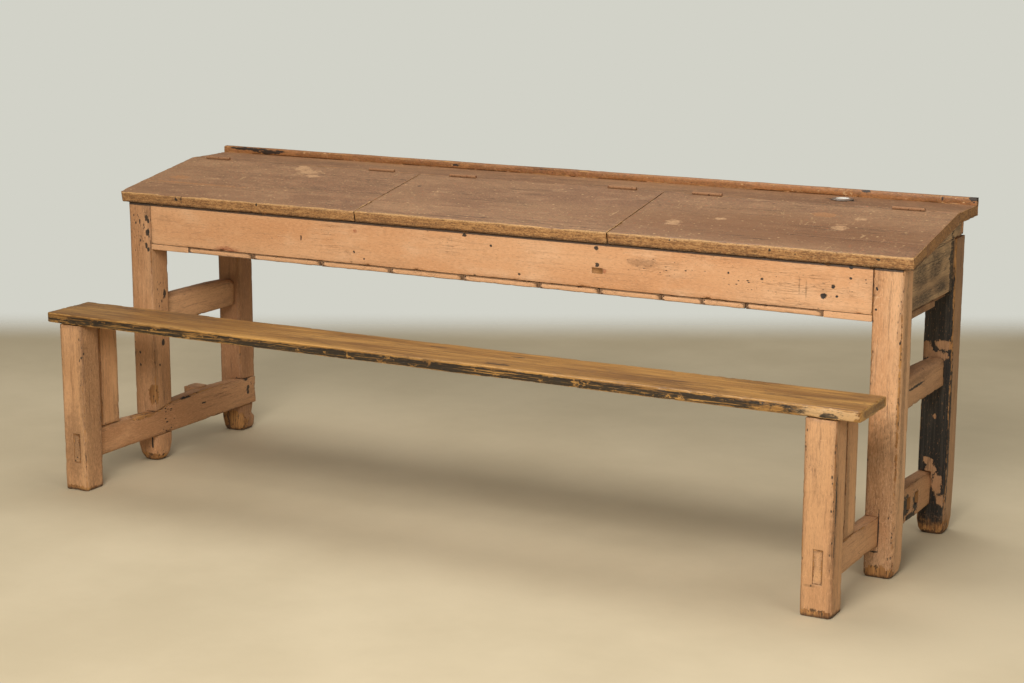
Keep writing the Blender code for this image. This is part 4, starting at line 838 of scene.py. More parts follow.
def make_finishes():
    """All finishes, with the placed marks that belong to each piece."""
    y = FRONT_LEG_LOW.y
    rear = REAR_LEG_LOW.y
    seat_front = SEAT_LOW.y
    return {
        "pink": worn_paint("pink_paint"),
        "apron": worn_paint(
            "pink_paint_apron", chips=0.6, grime_and_shade=0.6, cracked=0.2, joint=0.65, painted_lid_shadow=True,
            pepper=0.66, peppered=front_marks(y, 0.01, [
                (0.480, 0.652, 0.100, 0.020), (0.900, 0.634, 0.050, 0.020),
                (0.946, 0.662, 0.024, 0.012), (0.700, 0.628, 0.080, 0.014),
                (-0.575, 0.636, 0.030, 0.005),
            ]),
            black=front_marks(y, 0.01, [
                (-0.350, 0.618, 0.0035, 0.003), (-0.321, 0.603, 0.0025, 0.0025),
                (-0.038, 0.682, 0.006, 0.006), (0.035, 0.664, 0.0035, 0.003),
                (0.863, 0.620, 0.0072, 0.0068), (0.886, 0.642, 0.0045, 0.0045),
                (0.895, 0.622, 0.003, 0.003), (0.312, 0.681, 0.006, 0.005),
                (0.315, 0.642, 0.005, 0.005), (0.925, 0.689, 0.005, 0.005),
                (0.925, 0.664, 0.003, 0.003), (0.111, 0.603, 0.003, 0.003),
                (-0.506, 0.640, 0.002, 0.006), (0.720, 0.645, 0.004, 0.003),
                (0.640, 0.652, 0.003, 0.003),
            ]),
            tint=front_marks(y, 0.01, [
                (-0.735, 0.592, 0.034, 0.008), (-0.346, 0.670, 0.006, 0.005),
                (0.333, 0.629, 0.006, 0.006),
            ]),
            dark=front_marks(y, 0.01, [
                (0.808, 0.640, 0.002, 0.020), (0.824, 0.630, 0.002, 0.020),
                (0.430, 0.656, 0.040, 0.010),
            ]),
        ),
        "leg_front_left": worn_paint(
            "pink_paint_front_left_leg", PINK_OLD, PINK_OLD_DEEP, PINK, grime_and_shade=1.3,
            painted_lid_shadow=True,
            peppered=[((-1.028, y, 0.634), (0.012, 0.01, 0.034)),
                      ((-1.008, y, 0.626), (0.014, 0.01, 0.052)),
                      ((-0.988, y, 0.616), (0.010, 0.01, 0.056)),
                      ((-0.976, y + 0.040, 0.450), (0.01, 0.026, 0.060)),
                      ((-1.000, y + 0.010, 0.020), (0.030, 0.030, 0.020))],
            black=front_marks(y, 0.01, [
                (-0.989, 0.656, 0.0050, 0.008), (-0.983, 0.648, 0.0030, 0.006),
                (-0.986, 0.617, 0.0060, 0.011), (-0.991, 0.582, 0.0050, 0.007),
                (-0.985, 0.573, 0.0040, 0.006), (-1.010, 0.644, 0.0022, 0.007),
                (-1.024, 0.295, 0.003, 0.004), (-1.024, 0.262, 0.003, 0.005),
            ]) + [((-0.976, y + 0.050, 0.448), (0.01, 0.006, 0.012)),
                  ((-0.976, y + 0.038, 0.320), (0.01, 0.006, 0.010)),
                  ((-0.976, y + 0.020, 0.262), (0.01, 0.004, 0.004)),
                  ((-0.993, y, 0.050), (0.0035, 0.02, 0.018))],
            bare=[((-1.010, y + 0.020, 0.010), (0.040, 0.040, 0.016)),
                  ((-0.985, y + 0.004, 0.185), (0.016, 0.012, 0.030))],
        ),
        "leg_front_right": worn_paint(
            "pink_paint_front_right_leg", tone(216, 166, 120), tone(200, 146, 100), PINK_LIGHT,
            chips=1.1, grime_and_shade=1.5,
            black=front_marks(y, 0.01, [
                (0.985, 0.647, 0.003, 0.004), (0.985, 0.601, 0.003, 0.003),
                (0.976, 0.655, 0.003, 0.006), (1.0095, 0.112, 0.0016, 0.042),
                (1.000, 0.060, 0.010, 0.0022),
            ]),
            painted_lid_shadow=True,
            peppered=front_marks(y, 0.02, [
                (1.040, 0.560, 0.006, 0.120), (1.036, 0.100, 0.010, 0.060),
                (0.984, 0.070, 0.010, 0.030),
            ]),
            dark=[((1.010, y, 0.120), (0.050, 0.030, 0.240)),
                  ((1.022, y, 0.150), (0.028, 0.018, 0.200)),
                  ((0.996, y, 0.220), (0.030, 0.014, 0.130)),
                  ((1.008, y, 0.080), (0.040, 0.016, 0.090)),
                  ((1.046, y + 0.030, 0.420), (0.01, 0.012, 0.280)),
                  ((1.010, y, 0.030), (0.036, 0.02, 0.040))],
            bare=[((1.044, y + 0.002, 0.30), (0.005, 0.006, 0.30)),
                  ((1.010, y, 0.008), (0.042, 0.03, 0.022))],
        ),
        "leg_rear_right": worn_paint(
            "pink_and_black_paint", tone(176, 134, 96), tone(146, 108, 74), PINK_OLD, chips=1.2,
            grime_and_shade=1.5,
            bands=[((0.960, rear - 0.02, 0.020), (1.060, rear + 0.0035, 0.640)),
                   ((0.960, rear - 0.02, 0.440), (0.985, rear + 0.060, 0.640))],
            keep=front_marks(rear, 0.02, [
                (1.026, 0.458, 0.024, 0.012), (0.985, 0.444, 0.016, 0.020),
                (1.010, 0.432, 0.028, 0.012), (1.012, 0.286, 0.003, 0.006),
                (1.000, 0.178, 0.012, 0.010), (1.008, 0.158, 0.014, 0.014),
                (1.024, 0.124, 0.012, 0.030), (1.034, 0.086, 0.010, 0.014),
                (1.004, 0.130, 0.010, 0.020), (0.996, 0.100, 0.010, 0.026),
            ]),
            black=front_marks(rear + 0.010, 0.007, [(1.045, 0.250, 0.010, 0.180)]),
            bare=[((1.010, rear + 0.02, 0.014), (0.045, 0.05, 0.046)),
                  ((1.043, rear + 0.003, 0.400), (0.005, 0.006, 0.330))],
        ),
        "leg_rear_left": worn_paint(
            "pink_paint_rear_left_leg", PINK_OLD_DEEP, tone(158, 112, 76), PINK_OLD, chips=1.1,
            grime_and_shade=1.5,
            black=[((-0.985, rear, 0.140), (0.012, 0.012, 0.016)),
                   ((-0.996, rear, 0.655), (0.008, 0.012, 0.030)),
                   ((-0.976, rear + 0.03, 0.120), (0.02, 0.02, 0.026))],
            bare=front_marks(rear, 0.045, [(-1.010, 0.024, 0.045, 0.040)]),
        ),
        "stretcher": worn_paint(
            "pink_paint_stretchers", PINK_OLD, PINK_OLD_DEEP, PINK, chips=1.3, grime_and_shade=1.3,
            peppered=[((-0.974, -0.030, 0.110), (0.02, 0.032, 0.048)),
                      ((-0.974, 0.330, 0.140), (0.02, 0.030, 0.034)),
                      ((1.008, 0.150, 0.110), (0.02, 0.060, 0.030))],
            black=end_marks(-0.974, 0.01, [
                (0.322, 0.154, 0.013, 0.011), (0.330, 0.118, 0.006, 0.014),
                (0.126, 0.122, 0.009, 0.0025), (0.046, 0.152, 0.026, 0.0030),
            ]) + end_marks(1.008, 0.012, [
                (0.122, 0.112, 0.024, 0.030), (0.194, 0.108, 0.018, 0.026),
                (0.160, 0.080, 0.034, 0.010),
            ]),
            bare=top_marks(0.012, [
                (1.008, 0.170, 0.066, 0.02, 0.040), (-0.985, -0.120, 0.142, 0.02, 0.060),
            ]),
        ),
        "rail": worn_paint(
            "pink_paint_rails", PINK_OLD, tone(170, 124, 86), PINK, chips=1.2, grime_and_shade=1.7,
            dark=end_marks(1.030, 0.02, [
                (0.110, 0.418, 0.090, 0.010), (0.220, 0.452, 0.080, 0.008),
            ]),
            black=end_marks(1.030, 0.02, [
                (0.090, 0.404, 0.060, 0.0035), (0.190, 0.440, 0.050, 0.0022),
                (0.250, 0.470, 0.030, 0.0030),
            ]),
        ),
        "bench": worn_paint(
            "pink_paint_bench_legs", tone(208, 159, 112), tone(188, 138, 94), PINK, grime_and_shade=1.5,
            cracked=0.6, black=end_marks(1.018, 0.010, [
                (seat_front + 0.014, 0.255, 0.0035, 0.055),
                (seat_front + 0.010, 0.160, 0.0020, 0.030),
            ]),
            peppered=front_marks(seat_front, 0.014, [
                (-0.960, 0.340, 0.008, 0.080), (-1.024, 0.310, 0.005, 0.070),
                (0.949, 0.400, 0.005, 0.050), (1.013, 0.260, 0.006, 0.160),
            ]) + front_marks(seat_front, 0.012, [(0.968, 0.070, 0.016, 0.006)]),
            dark=[((0.968, seat_front, 0.068), (0.013, 0.012, 0.003)),
                  ((1.016, seat_front + 0.012, 0.230), (0.012, 0.012, 0.160)),
                  ((1.008, seat_front + 0.104, 0.240), (0.012, 0.012, 0.120)),
                  # Painted shade: darkens the left bench leg's inner side to look less lit
                  ((-0.956, seat_front + 0.035, 0.240), (0.016, 0.050, 0.260)),
                  ((-0.991, seat_front, 0.120), (0.030, 0.012, 0.100))],
            bare=front_marks(seat_front, 0.08, [
                (0.981, 0.004, 0.050, 0.014), (-0.991, 0.004, 0.050, 0.010),
            ]),
        ),
        "floor_end": plain_wood(
            "floor_board_wood", tone(176, 132, 88), tone(122, 84, 52), stained=0.35, painted=True,
        ),
        "floor_outer": plain_wood(
            "floor_board_wood_outer", tone(176, 132, 88), tone(122, 84, 52), stained=0.35,
            on_board=False, painted=True,
        ),
        "inside": plain_wood("bare_wood", tone(186, 144, 98), tone(134, 96, 60), stained=0.3),
        "lid_nose": top_paint(
            "mauve_paint_lid_fronts", nose=True,
            # Browner, and painted shade: the right lid's nose darkened to look less lit
            dark=front_marks(0.020, 0.090, [(0.700, 0.740, 0.420, 0.06)]),
            black=front_marks(-0.086, 0.01, [
                (-0.868, 0.712, 0.0015, 0.010), (-0.884, 0.712, 0.006, 0.005),
                (-0.632, 0.716, 0.003, 0.003), (0.740, 0.712, 0.004, 0.004),
                (0.800, 0.708, 0.003, 0.002), (0.988, 0.712, 0.006, 0.003),
                (0.500, 0.716, 0.0025, 0.003),
            ]),
        ),
        "lid": top_paint(
            "mauve_paint_lids", chips=0.5, jointed=True,
            # Browner, and painted shade: the right lid darkened to look less lit
            dark=front_marks(0.000, 0.150, [(0.700, 0.740, 0.420, 0.06)]),
            pale=top_marks(0.02, [
                (-0.690, 0.206, 0.774, 0.024, 0.024), (-0.650, 0.176, 0.768, 0.034, 0.022),
                (-0.622, 0.150, 0.764, 0.020, 0.012), (0.842, 0.070, 0.749, 0.017, 0.022),
                (0.868, 0.140, 0.762, 0.014, 0.008), (0.560, 0.070, 0.749, 0.014, 0.008),
                (0.460, 0.020, 0.740, 0.016, 0.020),
            ]),
            warm=top_marks(0.02, [
                (-0.900, 0.020, 0.740, 0.180, 0.005), (-0.980, 0.060, 0.747, 0.030, 0.014),
                (0.780, 0.150, 0.763, 0.030, 0.016),
            ]),
            black=front_marks(0.135, 0.005, [(-0.289, 0.760, 0.006, 0.01)]),
        ),
        "shelf": top_paint(
            "mauve_paint_shelf", tone(156, 114, 76), tone(130, 90, 58), tone(176, 134, 92),
            dark=front_marks(0.311, 0.034, [(0.764, 0.777, 0.040, 0.02)]),
            black=front_marks(0.311, 0.029, [(0.764, 0.777, 0.031, 0.02)]),
        ),
        "lip": top_paint(
            "mauve_paint_lip", tone(166, 110, 60), tone(130, 84, 44), tone(188, 134, 78), GOLD,
            chips=0.8,
            black=front_marks(0.372, 0.012, [
                (-0.975, 0.790, 0.070, 0.004), (-0.915, 0.785, 0.046, 0.006),
                (-0.880, 0.789, 0.020, 0.003), (-0.320, 0.786, 0.010, 0.003),
            ]) + front_marks(0.372, 0.014, [
                (0.800, 0.792, 0.014, 0.003), (0.985, 0.786, 0.003, 0.005),
            ]) + front_marks(0.378, 0.014, [(1.058, 0.790, 0.012, 0.008)]),
        ),
        "seat": plain_wood(
            "ochre_wood", OCHRE, tone(124, 84, 38), stain=tone(82, 56, 34), stained=0.6, rough=0.46,
            edge=0.55, coat=0.1, dark_end=0.1,
            bands=[((-1.062, seat_front - 0.01, 0.4290), (0.929, seat_front + 0.0035, 0.4470))],
            black=top_marks(0.006, [
                (0.210, seat_front + 0.028, 0.4526, 0.030, 0.007),
                (0.218, seat_front + 0.112, 0.4526, 0.020, 0.004),
                (0.007, seat_front + 0.120, 0.4526, 0.022, 0.004),
                (1.000, seat_front, 0.434, 0.020, 0.004),
            ]),
            bare=front_marks(seat_front, 0.006, [(0.998, 0.438, 0.075, 0.012)]),
        ),
        "panel": plain_wood(
            "stained_wood", tone(212, 175, 130), tone(170, 133, 95), stain=tone(64, 58, 51),
            stained=0.6, rough=0.66,
            smoke=end_marks(1.040, 0.02, [
                (0.070, 0.602, 0.10, 0.022), (0.060, 0.660, 0.05, 0.030),
                (0.165, 0.668, 0.05, 0.036), (0.210, 0.612, 0.06, 0.020),
            ]),
            black=front_marks(0.286, 0.016, [(1.040, 0.650, 0.01, 0.085)]),
        ),
        "iron": rusted_iron("rusty_iron", tone(158, 114, 78)),
        "nail": rusted_iron("rusty_nails", sooted=0.6),
        "ceramic": glazed_stoneware("white_glaze"),
    }


# Pieces


def slope_height(y, drop=0.0):
    """Height of a plane that lies drop below the lids' top face."""
    return TOP_Z - (HINGE_Y - y) * tan(LID_SLOPE) - drop / cos(LID_SLOPE)


def under_top(y):
    """Height of the room below the lids, and below the shelf behind their hinges."""
    level = SHELF_LOW.z - FIT
    return np.where(y > HINGE_Y, level, np.minimum(slope_height(y, LID_THICKNESS + FIT), level))


def slanted_top(high_z, over):
    """Lowers the top of a piece to the lids' underside, fading out over a height below it."""
    def bend(points):
        drop = high_z - np.minimum(slope_height(points[:, 1], LID_THICKNESS + FIT), high_z)
        share = np.clip((points[:, 2] - (high_z - over)) / over, 0.0, 1.0)
        points[:, 2] -= drop * share
        return points
    return bend


# Length before a lid's rear end over which the turn of that end fades out
SQUARE_OVER = 0.2


def lid_plane(square_rear):
    """Takes points given along X, up the slope and square to it into their sloping place.

    A square rear end is turned upright, which fades out over SQUARE_OVER.
    """
    def bend(points):
        x, up_slope, rise = points.T
        if square_rear:
            share = np.clip(1 + up_slope / SQUARE_OVER, 0.0, 1.0)
            up_slope = up_slope - rise * tan(LID_SLOPE) * share
        y = HINGE_Y + up_slope * cos(LID_SLOPE) - rise * sin(LID_SLOPE)
        z = TOP_Z + up_slope * sin(LID_SLOPE) + rise * cos(LID_SLOPE)
        return np.stack([x, y, z], axis=-1)
    return bend


# What each foot has lost, in rows of six: the height as a share of FOOT, then shares of the leg's
# width taken off its inner, outer, front and rear side, and the radius of its corners
FOOT = 0.073
FOOT_SHARES = {
    "front_left": ((0, 0.2, 0.2, 0.2, 0.2, 0.26), (0.1, 0.09, 0.1, 0.1, 0.09, 0.32),
                   (0.28, 0.025, 0.03, 0.03, 0.02, 0.3), (0.6, 0, 0, 0, 0, 0.2)),
    "front_right": ((0, 0.03, 0.09, 0.05, 0.08, 0.16), (0.12, 0, 0.045, 0.01, 0.03, 0.16),
                    (0.4, 0, 0, 0, 0, 0.14)),
    "rear_left": ((0, 0.1, 0.08, 0.1, 0.07, 0.2), (0.14, 0.03, 0.03, 0.04, 0, 0.2),
                  (0.46, 0.02, 0, 0, 0.01, 0.14), (0.62, 0.06, 0, 0, 0.16, 0.12),
                  (0.8, 0.05, 0, 0, 0.12, 0.1)),
    "rear_right": ((0, 0.14, 0.1, 0.1, 0.13, 0.18), (0.16, 0.06, 0.05, 0.03, 0.07, 0.16),
                   (0.45, 0.02, 0.02, 0, 0.02, 0.12)),
}
# Corners above the foot, in rows of three: the height as a share of the leg's, then the radii of
# the front outer corner and of the others, as shares of the leg's width
SQUARE_CORNERS = ((0.2, 0.07, 0.06), (0.5, 0.07, 0.06), (1, 0.05, 0.05))
WORN_CORNERS = ((0.2, 0.24, 0.08), (0.5, 0.18, 0.06), (0.85, 0.12, 0.05), (1, 0.07, 0.05))
# Height over which a front leg's top comes down to the lids' underside
LEG_TOP_FADE = 0.08


def leg_form(word, low, high, top):
    """The sides and corner radii of a desk leg by height, from its tables of wear."""
    at_right = word.endswith("right")
    rows = np.array(FOOT_SHARES[word])
    corner_rows = np.array(WORN_CORNERS if word == "front_right" else SQUARE_CORNERS)
    heights = np.concatenate([rows[:, 0] * FOOT, [corner_rows[0, 0] * top]])
    inner, outer, before, behind = [
        LEG_WIDTH * np.concatenate([rows[:, column], [0.0]]) for column in (1, 2, 3, 4)
    ]

    def sides(z):
        toward_low, toward_high = (inner, outer) if at_right else (outer, inner)
        lost = [np.interp(z, heights, row) for row in (toward_low, toward_high, before, behind)]
        return [low[0] + lost[0], high[0] - lost[1], low[1] + lost[2], high[1] - lost[3]]

    def corners(z):
        all_heights = np.concatenate([rows[:, 0] * FOOT, corner_rows[:, 0] * top])
        foot = rows[:, 5]
        front_outer = np.interp(z, all_heights, np.concatenate([foot, corner_rows[:, 1]]))
        other = np.interp(z, all_heights, np.concatenate([foot, corner_rows[:, 2]]))
        columns = [other] * 4
        columns[3 if at_right else 2] = front_outer
        return LEG_WIDTH * np.stack(columns, axis=-1)

    return sides, corners


def add_desk_legs(finishes):
    """The desk legs, notched where the stretchers are let in."""
    for i, word in enumerate(("front_left", "front_right", "rear_left", "rear_right")):
        node = f"desk_leg_{word}"
        row, end = word.split("_")
        low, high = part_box(node)
        low.x, high.x = (-OUTER_FACE, -INNER_FACE) if end == "left" else (INNER_FACE, OUTER_FACE)
        is_front = row == "front"
        top = slope_height(low.y, LID_THICKNESS + FIT) if is_front else high.z
        sides, corners = leg_form(word, low, high, top)
        leg = board(
            f"{node}_worn", low, high, "Z", finishes[f"leg_{word}"], "frame", [node],
            corner=0.0016, worn=0.0011, reach=0.008, pitch=0.004, sides=sides, corners=corners,
            bend=slanted_top(high.z, LEG_TOP_FADE) if is_front else None, seed=20 + i,
        )
        notch_low, notch_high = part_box(f"lower_stretcher_{end}")
        notch_low = notch_low - Vector((FIT, FIT, FIT))
        profile = stretcher_profile(notch_low.z + FIT, notch_high.z)
        front_level, rear_level = profile(np.array([low.y, high.y])) + FIT
        out = 2 * OVERRUN
        rise = (rear_level - front_level) * out / (high.y - low.y)
        box = ((notch_low.x, low.y - out, notch_low.z), (notch_high.x + FIT, high.y + out, TOP_Z))
        cut(leg, box_mesh("notch", [box], (front_level - rise, rear_level + rise)))


# Hollows round the empty sockets of the right stretcher: middle, radius and depth
STRETCHER_GOUGES = ((1.008, 0.126, 0.086, 0.014, 0.004), (1.008, 0.30, 0.15, 0.02, 0.004))
# Front ends of those sockets, and their size
SOCKET_FRONTS = (0.128, 0.186)
SOCKET_WIDTH, SOCKET_DEPTH = 0.026, 0.012
SOCKET_BOTTOM, SOCKET_TOP = 0.100, 0.130
# Top edges of the mid rails, in rows of two: shares of their length and of their height
RAIL_SHARES = {"left": ((0, 1), (0.7, 1), (0.92, 0.965), (1, 0.9)),
               "right": ((0, 1), (0.25, 1), (0.7, 0.93), (1, 0.85))}


def stretcher_profile(bottom, top):
    """Height of a lower stretcher's worn top edge at y."""
    bench_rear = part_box("bench_leg_right")[1].y
    post_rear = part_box("bench_post_right")[1].y
    run = FRONT_LEG_LOW.y - post_rear
    after = REAR_LEG_LOW.y - FRONT_LEG_HIGH.y
    places = [bench_rear, post_rear, post_rear + 0.45 * run, FRONT_LEG_LOW.y, FRONT_LEG_HIGH.y,
              FRONT_LEG_HIGH.y + 0.35 * after, FRONT_LEG_HIGH.y + 0.7 * after, REAR_LEG_LOW.y,
              REAR_LEG_HIGH.y]
    shares = [0.88, 0.88, 0.83, 0.79, 0.97, 1.0, 1.0, 0.94, 0.9]
    return stepped_edge(bottom, top, places, shares)


def add_stretchers(finishes):
    """The lower stretchers, and the tenons that go on through the bench legs."""
    for i, word in enumerate(("left", "right")):
        node = f"lower_stretcher_{word}"
        low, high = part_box(node)
        profile = stretcher_profile(low.z, high.z)
        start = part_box(f"bench_leg_{word}")[1].y + FIT
        piece = board(
            f"{node}_worn", (low.x, start, low.z), high, "Y", finishes["stretcher"], "frame",
            [node], corner=0.0025, worn=0.0016, reach=0.010, sides=edged(low, high, profile),
            seed=40 + i, gouges=STRETCHER_GOUGES if word == "right" else (),
        )
        if word == "right":
            cut(piece, box_mesh("sockets", empty_sockets(high.x)))
        inner = tenon_sides(word, low, high)
        leg_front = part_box(f"bench_leg_{word}")[0].y
        tongue = board(
            f"{node}_tenon", (inner[0], leg_front + FIT, low.z), (inner[1], start, profile(start)),
            "Y", finishes["bench"], "frame", (), corner=0.0005, worn=0.0001, seed=44 + i,
        )


def tenon_sides(word, low, high):
    """Low and high side in X of a stretcher's tenon, which lies at its inner face."""
    return (low.x, low.x + TENON_WIDTH) if word == "right" else (high.x - TENON_WIDTH, high.x)


def empty_sockets(outer):
    """The two pockets in the right stretcher, cut from its outer face."""
    return [
        ((outer - SOCKET_DEPTH, y, SOCKET_BOTTOM), (outer + OVERRUN, y + SOCKET_WIDTH, SOCKET_TOP))
        for y in SOCKET_FRONTS
    ]


def add_mid_rails(finishes):
    """The rails between front and rear legs, worn down towards the rear."""
    front, rear = FRONT_LEG_HIGH.y + FIT, REAR_LEG_LOW.y - FIT
    for i, word in enumerate(("left", "right")):
        low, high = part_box(f"mid_rail_{word}")
        places, shares = np.array(RAIL_SHARES[word], float).T
        top = stepped_edge(low.z, high.z, front + (rear - front) * places, shares)
        rail = board(
            f"mid_rail_{word}_worn", (low.x, front, low.z), (high.x, rear, high.z), "Y",
            finishes["rail"], "frame", [f"mid_rail_{word}"], corner=0.002, worn=0.0015,
            reach=0.012, sides=edged(low, high, top), seed=50 + i,
            corners=same_corners(0.0126, 0.003, 0.003, 0.0126),
        )


# Dents in the front apron: x, z, radius and depth
APRON_DENTS = ((-0.350, 0.618, 0.006, 0.002), (0.863, 0.620, 0.014, 0.003),
               (0.886, 0.642, 0.007, 0.002), (-0.038, 0.682, 0.010, 0.0015))
# The recess in its face, with heights from its lower edge
RECESS_LEFT, RECESS_RIGHT = 0.3015, 0.3285
RECESS_BOTTOM, RECESS_TOP, RECESS_DEPTH = 0.034, 0.047, 0.0015
# The split that runs forward from the rear leg in the right end panel
SPLIT_LENGTH, SPLIT_OVER_LEG, SPLIT_HALF = 0.072, 0.001, 0.0007


def add_case(finishes):
    """Aprons, back board, end panels, dividers and floor boards."""
    low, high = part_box("front_apron")
    apron = board(
        "front_apron_worn", (-INNER_FACE + FIT, low.y, low.z), (INNER_FACE - FIT, high.y, high.z),
        "X", finishes["apron"], "frame", ["front_apron"], worn=0.0008, reach=0.006, pitch=0.006,
        seed=60, bend=slanted_top(high.z, high.z - low.z),
        gouges=[(x, low.y, z, size, deep) for x, z, size, deep in APRON_DENTS],
    )
    cut(apron, box_mesh("recess", [
        ((RECESS_LEFT, low.y - OVERRUN, low.z + RECESS_BOTTOM),
         (RECESS_RIGHT, low.y + RECESS_DEPTH, low.z + RECESS_TOP))
    ]))
    low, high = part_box("rear_apron")
    rear = board(
        "rear_apron_worn", (-INNER_FACE + FIT, low.y, low.z), (INNER_FACE - FIT, high.y, high.z),
        "X", finishes["pink"], "frame", ["rear_apron"], worn=0.0008, pitch=0.006, seed=61,
    )
    low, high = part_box("back_board")
    back = board("back_board_worn", low, high, "X", finishes["pink"], "frame", ["back_board"],
                 worn=0.001, pitch=0.006, seed=62)

    over_leg = REAR_LEG_HIGH.z + FIT
    for i, word in enumerate(("left", "right")):
        low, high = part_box(f"end_panel_{word}")
        front, rear_y = FRONT_LEG_HIGH.y + FIT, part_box("back_board")[0].y - FIT

        def bottom(y, low_z=low.z):
            return np.where(y < REAR_LEG_LOW.y - FIT, low_z, over_leg)

        panel = board(
            f"end_panel_{word}_worn", (low.x, front, low.z), (high.x, rear_y, high.z), "Y",
            finishes["panel"], "frame", [f"end_panel_{word}"], worn=0.0009, pitch=0.004,
            sides=edged(low, high, under_top, bottom), seed=64 + i,
        )
        if word == "right":
            start = REAR_LEG_LOW.y - SPLIT_LENGTH
            split = ((low.x - OVERRUN, start, over_leg - SPLIT_HALF),
                     (high.x + OVERRUN, REAR_LEG_LOW.y + SPLIT_OVER_LEG, over_leg + SPLIT_HALF))
            cut(panel, box_mesh("split", [split]))
        low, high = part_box(f"divider_{word}")
        divider = board(
            f"divider_{word}_worn", low, high, "Y", finishes["inside"], "frame",
            [f"divider_{word}"], worn=0.0008, sides=edged(low, high, under_top), pitch=0.006,
            seed=66 + i,
        )
    for number in range(2, 12):
        node = f"floor_board_{number:02d}"
        low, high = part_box(node)
        piece = board(f"{node}_worn", low, high, "Y", finishes["floor_end"], "frame", [node],
                      reach=0.006, pitch=0.006, seed=70 + number)
    for node in ("floor_board_01", "floor_board_12"):
        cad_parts[node].data.materials[0] = finishes["floor_outer"]


# Room for the hinges on either side of their line, and how deep the knuckles' room is
LEAF_ROOM, KNUCKLE_ROOM, KNUCKLE_DEPTH = 0.0027, 0.0043, 0.0083
# The inkwell's hole, and how far the lip is let into the shelf
HOLE_RADIUS, HOLE_SIDES = 0.022, 32
LIP_SUNK = 0.0015
# Ends of the battens from the lids' front edge and from the hinge line
BATTEN_FRONT, BATTEN_REAR, BATTEN_THICKNESS = 0.0493, 0.040, 0.014
# Radii in plan of the left and right front corner of each lid
LID_CORNERS = {"left": (0.010, 0.0), "middle": (0.0, 0.002), "right": (0.003, 0.007)}


def hinge_recesses():
    """Boxes that make room in lids and shelf for the leaves, then for the knuckles."""
    leaves, knuckles = [], []
    over = TOP_Z + 2 * OVERRUN
    for tag in ("left_a", "left_b", "middle_a", "middle_b", "right_a", "right_b"):
        low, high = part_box(f"hinge_fixed_{tag}")
        for spans, room, bottom in (
            (leaves, LEAF_ROOM, low.z - FIT), (knuckles, KNUCKLE_ROOM, high.z - KNUCKLE_DEPTH),
        ):
            spans.append(
                ((low.x - FIT, HINGE_Y - room, bottom), (high.x + FIT, HINGE_Y + room, over))
            )
    return leaves, knuckles


def add_top(finishes):
    """Shelf, lip and lids."""
    leaves, knuckles = hinge_recesses()
    shelf = board(
        "ink_shelf_worn", SHELF_LOW, SHELF_HIGH, "X", finishes["shelf"], "frame", ["ink_shelf"],
        corner=0.0014, worn=0.0016, reach=0.008, pitch=0.006, seed=80,
    )
    for spans in (leaves, knuckles):
        cut(shelf, box_mesh("recess", spans))
    low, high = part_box("inkwell")
    middle = (low + high) / 2
    angle = np.linspace(0.0, 2 * pi, HOLE_SIDES, endpoint=False)
    ring = [middle.x + HOLE_RADIUS * np.cos(angle), middle.y + HOLE_RADIUS * np.sin(angle)]
    ends = (SHELF_LOW.z - OVERRUN, SHELF_HIGH.z + OVERRUN)
    points = np.concatenate(
        [np.column_stack([*ring, np.full(HOLE_SIDES, z)]) for z in ends]
        + [[[middle.x, middle.y, z]] for z in ends]
    )
    cut(shelf, make_mesh("hole", points, *tube_faces(2, HOLE_SIDES)))

    low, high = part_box("pencil_lip")
    low.z = SHELF_HIGH.z - LIP_SUNK
    lip = board("pencil_lip_worn", low, high, "X", finishes["lip"], "frame", ["pencil_lip"],
                worn=0.0016, reach=0.008, corners=same_corners(0.0012, 0.005, 0.0012, 0.0012),
                seed=81)

    joint = LID_NOSE + LID_FRONT_BOARD
    for i, word in enumerate(("left", "middle", "right")):
        body = f"lid_{word}"
        low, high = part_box(f"{body}_rear_board")
        front_low, front_high = (low.x, LID_NOSE, -LID_THICKNESS), (high.x, joint - FIT / 2, 0.0)
        front = board(
            f"{body}_front_board_worn", front_low, front_high, "X", finishes["lid_nose"], body,
            [f"{body}_front_board"], worn=0.0015, reach=0.008, pitch=0.004, spared=(1,),
            sides=rounded_front(front_low, front_high, *LID_CORNERS[word]),
            corners=same_corners(0.0007, 0.0032, 0.0032, 0.0007), bend=lid_plane(False),
            seed=84 + i,
        )
        rear = board(
            f"{body}_rear_board_worn", (low.x, joint + FIT / 2, -LID_THICKNESS),
            (high.x, -FIT, 0.0), "X", finishes["lid"], body, [f"{body}_rear_board"],
            corner=0.0008, worn=0.0004, reach=0.005, bend=lid_plane(True), pitch=0.006,
            seed=88 + i, spared=(0,),
        )
        for spans in (leaves, knuckles):
            own = [span for span in spans if low.x < span[0][0] < high.x]
            cut(rear, box_mesh("recess", own))
        for letter in "ab":
            node = f"{body}_batten_{letter}"
            low_x, high_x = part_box(node)[0].x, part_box(node)[1].x
            under = -LID_THICKNESS - FIT
            batten = board(
                f"{node}_worn", (low_x, LID_NOSE + BATTEN_FRONT, under - BATTEN_THICKNESS),
                (high_x, -BATTEN_REAR, under), "Y", finishes["inside"], body, [node],
                corner=0.002, worn=0.001, bend=lid_plane(False),
                seed=94 + 2 * i + "ab".index(letter),
            )


# Radii in plan of the seat's left and right front corner
SEAT_CORNERS = (0.013, 0.010)


def bench_leg_corners(z):
    """Corner radii of a bench leg at a height: larger at its front, and largest at the floor."""
    front = np.interp(z, (0.0, 0.03, 0.3, 0.45), (0.009, 0.006, 0.005, 0.0025))
    rear = np.interp(z, (0.0, 0.02, 0.1), (0.006, 0.0035, 0.0025))
    return np.stack([rear, rear, front, front], axis=-1)


